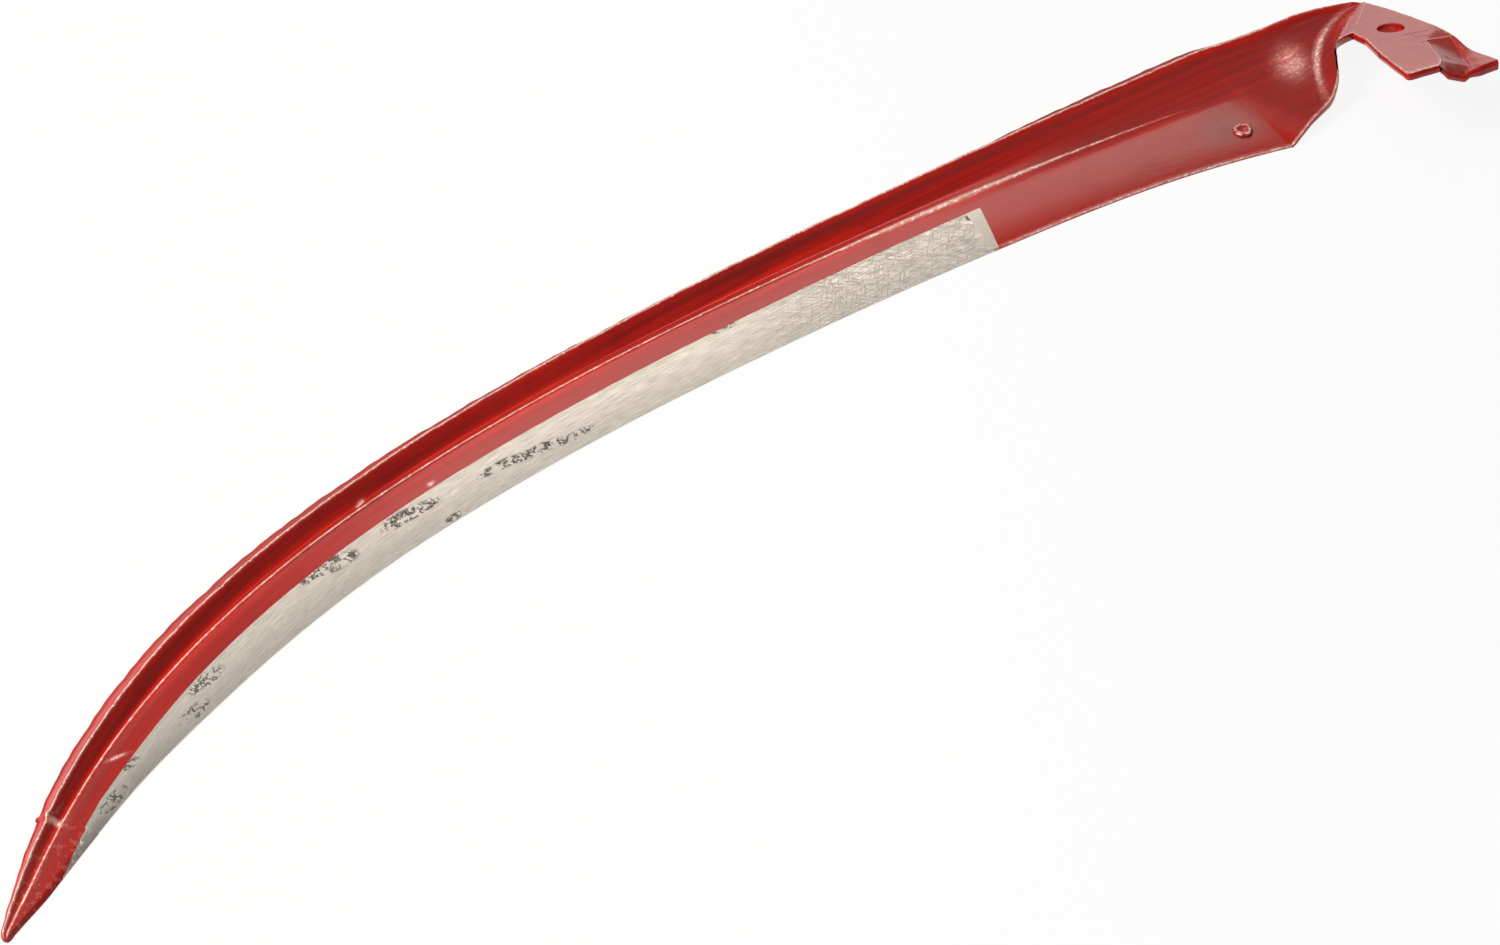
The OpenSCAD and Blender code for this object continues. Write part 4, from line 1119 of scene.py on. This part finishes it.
def red_paint(name, colours, scratches=()):
    """Glossy red enamel: long brush streaks of a deeper red, small blisters, lines worn thin with painted
    highlights, painted shade in deep red, and bare steel.

    The rub mask greys it and adds rubbed lines; scratches are (along, across, angle, length)."""
    material, tree, shader, flow = start_material(name)
    lines, spots = marks_on(tree, flow)
    long_streaks = lines(Length=0.09, Width=0.0026)
    fine_streaks = lines(Length=0.022, Width=0.0004, Detail=4.0)
    cloud = spots(Size=0.013, Cover=0.62, Softness=0.35)
    # The deep mask is painted shade
    calm, deep, rub = mask_of(tree, "calm"), mask_of(tree, "deep"), mask_of(tree, "rub")
    bare = between(tree, mask_of(tree, "bare"), 0.4, 0.6)
    broken = between(tree, lines(Length=0.006, Width=0.0012), 0.42, 0.56, 0.5, 1.0)
    # The line mask is worn paint with painted highlights, so these lines and specks are both
    nicks = times(tree, mask_of(tree, "line"), broken)
    nicks_and_glints = times(tree, mask_of(tree, "line"), spots(Size=0.0018, Cover=0.5, Softness=0.03))
    blisters = times(tree, spots(Size=0.0028, Cover=0.5, Softness=0.05), mask_of(tree, "tip"))
    rubbed = between(tree, lines(Length=0.03, Width=0.00035, Detail=5.0), 0.4, 0.65, 0.06, 0.3)
    chips = spots(Size=0.0016, Cover=0.13, Softness=0.03)
    scores = scratches_on(tree, flow, scratches)

    streaky = between(tree, calm, 0.0, 1.0, between(tree, long_streaks, 0.3, 0.68, 0.15, 1.0), 0.36)
    stained = times(tree, mask_of(tree, "brown"), between(tree, long_streaks, 0.3, 0.65, 0.95, 0.5))
    dull = times(tree, mask_of(tree, "outer"), between(tree, fine_streaks, 0.35, 0.65, 0.4, 0.75))
    paint = layered(tree, blend(tree, streaky, colours.dark_red_and_shade, colours.red), [
        (times(tree, cloud, 0.35), colours.dark_red_and_shade),
        (between(tree, fine_streaks, 0.5, 0.7, 0.0, 0.16), colours.thin_red),
        # Painted shade along the fuller, in brown
        (times(tree, mask_of(tree, "streak"), 0.4), colours.brown),
        (stained, colours.brown),
        # Painted shade: deep red over the deep mask
        (times(tree, deep, between(tree, long_streaks, 0.35, 0.65, 1.0, 0.8)), colours.dark_red_and_shade),
        (times(tree, blisters, 0.25), colours.worn_red),
        (dull, colours.brown),
        # Bright lines and glints: worn paint with painted highlights
        (between(tree, nicks, 0.0, 0.8, 0.0, 0.9), colours.worn_line_and_highlight),
        (nicks_and_glints, colours.nick_and_glint),
        (times(tree, rubbed, rub), colours.worn_red),
        (times(tree, chips, 0.7), colours.chip)])
    if scores is not None:
        paint = blend(tree, times(tree, scores, 0.85), paint, colours.score)
    grey = blend(tree, between(tree, fine_streaks, 0.35, 0.65, 0.0, 0.4), colours.dull_steel, colours.steel)

    rough = total(
        tree, between(tree, fine_streaks, 0.3, 0.7, 0.07, 0.16), times(tree, bare, 0.25),
        times(tree, mask_of(tree, "outer"), 0.7),
        times(tree, times(tree, deep, between(tree, bare, 0.0, 1.0, 1.0, 0.0)), 0.5),
        times(tree, rub, 0.12), between(tree, cloud, 0.0, 1.0, 0.0, 0.06))

    peel = wire(tree, "ShaderNodeTexNoise", {"Vector": flow, "Scale": PEEL_SCALE, "Detail": 2.0})
    height = total(
        tree, times(tree, peel.outputs["Fac"], 0.02),
        times(tree, long_streaks, between(tree, calm, 0.0, 1.0, 0.03, 0.004)),
        times(tree, fine_streaks, 0.01), times(tree, spots(Size=0.0035, Cover=0.12, Softness=0.1), 0.06))
    height = times(tree, height, between(tree, rub, 0.0, 1.0, 1.0, 0.4))
    height = total(tree, height, times(tree, nicks, 0.1), times(tree, blisters, 0.12))
    if scores is not None:
        height = maths(tree, "SUBTRACT", height, times(tree, scores, 0.25))
    join_surface(tree, shader, blend(tree, bare, paint, grey), bare, rough, height, 0.9)
    return material


def ground_steel(name, colours):
    """Bare ground steel: fine lines along the edge, slanting strokes, and dark scale in patches."""
    material, tree, shader, flow = start_material(name)
    lines, spots = marks_on(tree, flow)
    broad = lines(Length=0.12, Width=0.004)
    fine = lines(Length=0.008, Width=0.0005, Detail=6.0)
    strokes = between(tree, lines(Length=0.014, Width=0.0008, Slant=math.radians(-38.0)), 0.52, 0.6)
    crossed = between(tree, lines(Length=0.010, Width=0.0011, Slant=math.radians(52.0)), 0.55, 0.62)
    hatch = times(tree, maths(tree, "MAXIMUM", strokes, crossed), mask_of(tree, "hatch"))
    curls = use_group(tree, "Contours", flow, {"Size": 0.0036, "Width": 0.065})
    broken = times(tree, curls, spots(Size=0.005, Cover=0.8, Softness=0.06))
    pits = times(tree, broken, between(tree, mask_of(tree, "scale"), 0.15, 0.35))
    specks = times(tree, spots(Size=0.0012, Cover=0.17, Softness=0.04), 0.8)
    dark = maths(tree, "MAXIMUM", pits, specks)

    shade = blend(tree, between(tree, broad, 0.35, 0.65, 0.7, 1.0), colours.dull_steel, colours.steel)
    shade = layered(tree, shade, [
        (between(tree, fine, 0.42, 0.58, 0.0, 0.75), colours.dull_steel),
        (times(tree, hatch, 0.5), colours.dull_steel),
        (times(tree, dark, 0.9), colours.scale)])
    rough = total(tree, between(tree, fine, 0.3, 0.7, 0.26, 0.42), times(tree, dark, 0.2))
    height = total(tree, times(tree, fine, 0.07), times(tree, hatch, 0.06))
    height = maths(tree, "SUBTRACT", height, times(tree, dark, 0.05))
    join_surface(tree, shader, shade, between(tree, dark, 0.0, 1.0, 1.0, 0.25), rough, height, 0.8)
    return material


def finish_named(name, scene):
    """The material of that name, made when it is first asked for."""
    made = bpy.data.materials.get(name)
    if made:
        return made
    if name == "Ground steel":
        return ground_steel(name, scene.scythe_colours)
    return red_paint(name, scene.scythe_colours, TANG_SCRATCHES if name == "Rubbed red enamel" else ())


def floor_finish(stage):
    """Pale matt floor: a plain diffuse that shows white to the camera and in gloss, and keeps shadows."""
    material = bpy.data.materials.new("Pale floor")
    material.use_nodes = True
    tree = material.node_tree
    tree.nodes.clear()
    diffuse = wire(tree, "ShaderNodeBsdfDiffuse", {"Color": (*stage.floor_colour, 1.0)})
    glow = wire(tree, "ShaderNodeEmission", {"Color": (1.0, 1.0, 1.0, 1.0), "Strength": 1.0})
    path = tree.nodes.new("ShaderNodeLightPath")
    seen = maths(tree, "MAXIMUM", path.outputs["Is Camera Ray"], path.outputs["Is Glossy Ray"])
    seen = maths(tree, "MAXIMUM", seen, path.outputs["Is Transmission Ray"])
    share = times(tree, seen, stage.floor_white)
    mixed = wire(tree, "ShaderNodeMixShader", {0: share, 1: diffuse.outputs[0], 2: glow.outputs[0]})
    tree.links.new(mixed.outputs[0], tree.nodes.new("ShaderNodeOutputMaterial").inputs[0])
    return material


# Settings that a user would change

class ScytheLooks(bpy.types.PropertyGroup):
    """Sizes of what the hammer and the brush left"""
    wave_depth: FloatProperty(
        name="Wave of the back", description="How far the hammered back wanders in and out",
        default=0.0003, min=0.0, max=0.001, unit="LENGTH")
    bead_height: FloatProperty(
        name="Bead on the ridges", description="Height of the paint bead along the crest and the ridge",
        default=0.00018, min=0.0, max=0.0006, unit="LENGTH")
    crease_bead: FloatProperty(
        name="Bead in the crease", description="Height of the lumpy paint in the crease under the neck",
        default=0.0006, min=0.0, max=0.0015, unit="LENGTH")
    step_depth: FloatProperty(
        name="Step at the point", description="Drop where the rib's fold ends behind the point",
        default=0.0009, min=0.0, max=0.0015, unit="LENGTH")
    hammer_depth: FloatProperty(
        name="Hammering of the tang", description="Depth of the shallow hammer marks on the tang",
        default=0.00015, min=0.0, max=0.0005, unit="LENGTH")


class ScytheColours(bpy.types.PropertyGroup):
    """Colours of the enamel and the steel"""
    red: FloatVectorProperty(
        name="Red", description="Enamel in full light", default=(0.66, 0.013, 0.003), min=0.0, max=1.0,
        size=3, subtype="COLOR")
    # Also the painted shade laid over the deep mask
    dark_red_and_shade: FloatVectorProperty(
        name="Deep red", description="Enamel where the brush left more", default=(0.25, 0.004, 0.002),
        min=0.0, max=1.0, size=3, subtype="COLOR")
    thin_red: FloatVectorProperty(
        name="Thin red", description="Enamel drawn out thin", default=(0.56, 0.025, 0.016), min=0.0, max=1.0,
        size=3, subtype="COLOR")
    worn_red: FloatVectorProperty(
        name="Worn red", description="Rubbed or chalky enamel", default=(0.60, 0.20, 0.17), min=0.0, max=1.0,
        size=3, subtype="COLOR")
    # Also painted highlights along crest, ridge, step, crease and the heel's patch
    worn_line_and_highlight: FloatVectorProperty(
        name="Bright line", description="Enamel drawn out to nothing on the ridges",
        default=(0.95, 0.60, 0.52), min=0.0, max=1.0, size=3, subtype="COLOR")
    # Also painted glints along the same lines
    nick_and_glint: FloatVectorProperty(
        name="Spark", description="Bare nicks along the ridges", default=(1.0, 0.93, 0.88), min=0.0, max=1.0,
        size=3, subtype="COLOR")
    # Also the painted shade along the fuller
    brown: FloatVectorProperty(
        name="Brown", description="Stained enamel near the rivet", default=(0.23, 0.055, 0.045), min=0.0,
        max=1.0, size=3, subtype="COLOR")
    chip: FloatVectorProperty(
        name="Chip", description="Small chips in the enamel", default=(0.10, 0.03, 0.025), min=0.0, max=1.0,
        size=3, subtype="COLOR")
    score: FloatVectorProperty(
        name="Score", description="Dark bottom of the tang's scratches", default=(0.10, 0.03, 0.03), min=0.0,
        max=1.0, size=3, subtype="COLOR")
    steel: FloatVectorProperty(
        name="Steel", description="Ground steel", default=(0.98, 0.91, 0.82), min=0.0, max=1.0,
        size=3, subtype="COLOR")
    dull_steel: FloatVectorProperty(
        name="Dull steel", description="Ground steel between its bright lines", default=(0.72, 0.66, 0.58),
        min=0.0, max=1.0, size=3, subtype="COLOR")
    scale: FloatVectorProperty(
        name="Scale", description="Dark forge scale left in the pits", default=(0.035, 0.03, 0.025), min=0.0,
        max=1.0, size=3, subtype="COLOR")


class ScytheStage(bpy.types.PropertyGroup):
    """Floor, sky and lights"""
    floor_size: FloatProperty(
        name="Floor size", description="Side of the square floor", default=9.0, min=2.0, max=20.0,
        unit="LENGTH")
    floor_colour: FloatVectorProperty(
        name="Floor colour", description="Colour of the matt floor", default=(0.86, 0.86, 0.86), min=0.0,
        max=1.0, size=3, subtype="COLOR")
    floor_white: FloatProperty(
        name="Floor whiteness", description="Share of plain white in what the camera sees of the floor",
        default=0.9, min=0.0, max=1.0, subtype="FACTOR")
    sky: FloatProperty(
        name="Sky", description="Strength of the even light from all round", default=0.2, min=0.0, max=2.0)
    wall_power: FloatProperty(
        name="Wall light", description="Power of the wide soft light behind the blade", default=7.4, min=0.0,
        max=400.0, unit="POWER")
    low_power: FloatProperty(
        name="Low light", description="Power of the small low light that the tang mirrors", default=0.8,
        min=0.0, max=50.0, unit="POWER")
    key_power: FloatProperty(
        name="Key light", description="Power of the soft light over the point's side", default=44.0, min=0.0,
        max=200.0, unit="POWER")


# Operators

def forging_of(scene):
    """The forging's grid, worked out once for the present settings."""
    if "grid" not in forging_of.__dict__:
        forging_of.grid = Forging(scene.scythe_looks)
    return forging_of.grid


class SCYTHE_OT_blade(bpy.types.Operator):
    """Builds the painted blade: point, back rib, fuller, ridge and web"""
    bl_idname = "scythe.blade"
    bl_label = "Painted blade"

    def execute(self, context):
        grid, paint = forging_of(context.scene), finish_named("Red enamel", context.scene)
        for name, node, rows, cols in (
                ("Blade_point", "blade_point", (0, POINT_ROWS), (0, LAST_COL)),
                ("Back_rib", "back_rib", (POINT_ROWS, BLADE_ROWS), (0, COL_FLOOR - 1)),
                ("Fuller", "fuller", (POINT_ROWS, BLADE_ROWS), (COL_FLOOR - 1, COL_RIDGE - 1)),
                ("Stiffening_ridge", "stiffening_ridge", (POINT_ROWS, BLADE_ROWS), (COL_RIDGE - 1, COL_WEB)),
                ("Web", "web", (POINT_ROWS, BLADE_ROWS), (COL_WEB, COL_STRIP))):
            forged_piece(grid, name, node, paint, rows, cols)
        return {"FINISHED"}


class SCYTHE_OT_cutting_edge(bpy.types.Operator):
    """Builds the bare ground strip along the edge"""
    bl_idname = "scythe.cutting_edge"
    bl_label = "Cutting edge"

    def execute(self, context):
        grid, steel = forging_of(context.scene), finish_named("Ground steel", context.scene)
        forged_piece(grid, "Cutting_edge", "cutting_edge", steel,
                     (POINT_ROWS, STRIP_ROWS), (COL_STRIP, LAST_COL), SHARP_ROUND)
        return {"FINISHED"}


class SCYTHE_OT_heel(bpy.types.Operator):
    """Builds the painted beard, the heel and the neck"""
    bl_idname = "scythe.heel"
    bl_label = "Beard, heel and neck"

    def execute(self, context):
        grid, paint = forging_of(context.scene), finish_named("Red enamel", context.scene)
        top_of_heel = BLADE_ROWS + HEEL_ROWS
        for name, node, rows, cols in (
                ("Beard", "beard", (STRIP_ROWS, BLADE_ROWS), (COL_STRIP, LAST_COL)),
                ("Heel", "heel", (BLADE_ROWS, top_of_heel), (0, LAST_COL)),
                ("Neck", "neck", (top_of_heel, LAST_ROW), (0, LAST_COL))):
            forged_piece(grid, name, node, paint, rows, cols)
        return {"FINISHED"}


class SCYTHE_OT_tang(bpy.types.Operator):
    """Builds the tang with its hole"""
    bl_idname = "scythe.tang"
    bl_label = "Tang"

    def execute(self, context):
        tang_piece(context.scene.scythe_looks, finish_named("Rubbed red enamel", context.scene))
        return {"FINISHED"}


class SCYTHE_OT_knob(bpy.types.Operator):
    """Builds the knob pressed into the tang's end"""
    bl_idname = "scythe.knob"
    bl_label = "Knob"

    def execute(self, context):
        knob_piece(context.scene.scythe_looks, finish_named("Rubbed red enamel", context.scene))
        return {"FINISHED"}


class SCYTHE_OT_rivet(bpy.types.Operator):
    """Builds the hammered rivet at the heel"""
    bl_idname = "scythe.rivet"
    bl_label = "Heel rivet"

    def execute(self, context):
        rivet_piece(finish_named("Red enamel", context.scene))
        return {"FINISHED"}


# The photograph's camera: place in metres, directions of its right, up and back, focal length, film width
CAMERA_AT = (-0.728185, -0.792149, 0.93678)
CAMERA_TURN = ((0.7372, 0.4521, -0.5021), (-0.6757, 0.4933, -0.5479), (0.0, 0.7431, 0.6691))
CAMERA_LENS, FILM_WIDTH, NEAREST, FARTHEST = 95.22, 36.0, 0.05, 30.0
# How far the floor lies under the blade, so that the two never share a plane
FLOOR_GAP = 0.0002
LAMP_COLOUR = (1.0, 0.95, 0.88)
# Soft lights: name, place, the point aimed at, shape, sides, roll in degrees, and which setting is the power
LAMPS = (
    ("Wall light", (1.423, 1.678, 1.87), (0.009, -0.007, 1.87), "RECTANGLE", (1.39, 0.85), 30.0,
     "wall_power"),
    ("Low light", (1.812, 1.351, 0.29), (0.398, -0.334, 0.29), "RECTANGLE", (0.36, 0.54), 0.0, "low_power"),
    ("Key light", (-1.1, 0.65, 1.55), (0.0, 0.0, 0.0), "DISK", (1.0, 1.0), 0.0, "key_power"))


def area_light(name, at, towards, shape, size, roll, power):
    """A soft warm light, unseen by the camera, aimed from one point at another and rolled by degrees."""
    data = bpy.data.lights.new(name, "AREA")
    data.shape, data.size, data.size_y, data.energy = shape, size[0], size[1], power
    data.color = LAMP_COLOUR
    lamp = bpy.data.objects.new(name, data)
    lamp.location = at
    lamp.rotation_mode = "QUATERNION"
    lamp.rotation_quaternion = ((Vector(at) - Vector(towards)).to_track_quat("Z", "Y")
                                @ Quaternion((0.0, 0.0, 1.0), math.radians(roll)))
    lamp.visible_camera = False
    bpy.context.scene.collection.objects.link(lamp)


def pale_floor(stage):
    """The square floor just under the blade."""
    half = stage.floor_size / 2
    corners = [(x, y, -FLOOR_GAP) for x, y in ((-half, -half), (half, -half), (half, half), (-half, half))]
    mesh = bpy.data.meshes.new("Floor")
    mesh.from_pydata(corners, [], [(0, 1, 2, 3)])
    mesh.materials.append(floor_finish(stage))
    floor = bpy.data.objects.new("Floor", mesh)
    bpy.context.scene.collection.objects.link(floor)


def even_sky(stage):
    """White light from all round."""
    world = bpy.data.worlds.new("Sky")
    world.use_nodes = True
    tree = world.node_tree
    tree.nodes.clear()
    sky = wire(tree, "ShaderNodeBackground", {"Color": (1.0, 1.0, 1.0, 1.0), "Strength": stage.sky})
    tree.links.new(sky.outputs[0], tree.nodes.new("ShaderNodeOutputWorld").inputs[0])
    return world


def photo_camera():
    """The camera that sees the blade as the photograph does."""
    data = bpy.data.cameras.new("Camera")
    data.lens, data.sensor_width, data.sensor_fit = CAMERA_LENS, FILM_WIDTH, "HORIZONTAL"
    data.clip_start, data.clip_end = NEAREST, FARTHEST
    camera = bpy.data.objects.new("Camera", data)
    camera.matrix_world = Matrix.Translation(CAMERA_AT) @ Matrix(CAMERA_TURN).to_4x4()
    bpy.context.scene.collection.objects.link(camera)
    return camera


class SCYTHE_OT_stage(bpy.types.Operator):
    """Sets up the pale floor, the soft lights, the sky and the camera"""
    bl_idname = "scythe.stage"
    bl_label = "Stage"

    def execute(self, context):
        scene, stage = context.scene, context.scene.scythe_stage
        pale_floor(stage)
        for *lamp, power in LAMPS:
            area_light(*lamp, getattr(stage, power))
        scene.world, scene.camera = even_sky(stage), photo_camera()
        scene.view_settings.view_transform = "Standard"
        return {"FINISHED"}


class SCYTHE_PT_panel(bpy.types.Panel):
    """Lists the steps that build the blade, and their settings"""
    bl_idname = "SCYTHE_PT_panel"
    bl_label = "Scythe blade"
    bl_space_type = "VIEW_3D"
    bl_region_type = "UI"
    bl_category = "Scythe"

    def draw(self, context):
        for step in STEPS:
            self.layout.operator(step.bl_idname)
        for key, cls in SETTINGS.items():
            box = self.layout.box()
            for label in cls.__annotations__:
                box.prop(getattr(context.scene, key), label)


SETTINGS = {"scythe_looks": ScytheLooks, "scythe_colours": ScytheColours, "scythe_stage": ScytheStage}
STEPS = (SCYTHE_OT_blade, SCYTHE_OT_cutting_edge, SCYTHE_OT_heel, SCYTHE_OT_tang, SCYTHE_OT_knob,
         SCYTHE_OT_rivet, SCYTHE_OT_stage)


def register():
    """Registers the classes and puts the settings on the scene."""
    for cls in (*SETTINGS.values(), *STEPS, SCYTHE_PT_panel):
        bpy.utils.register_class(cls)
    for key, cls in SETTINGS.items():
        setattr(bpy.types.Scene, key, PointerProperty(type=cls))


def unregister():
    """Takes the settings and the classes away again."""
    for key in SETTINGS:
        delattr(bpy.types.Scene, key)
    for cls in reversed((*SETTINGS.values(), *STEPS, SCYTHE_PT_panel)):
        bpy.utils.unregister_class(cls)


def main():
    register()
    for step in STEPS:
        group, action = step.bl_idname.split(".")
        getattr(getattr(bpy.ops, group), action)()


if __name__ == "__main__":
    main()
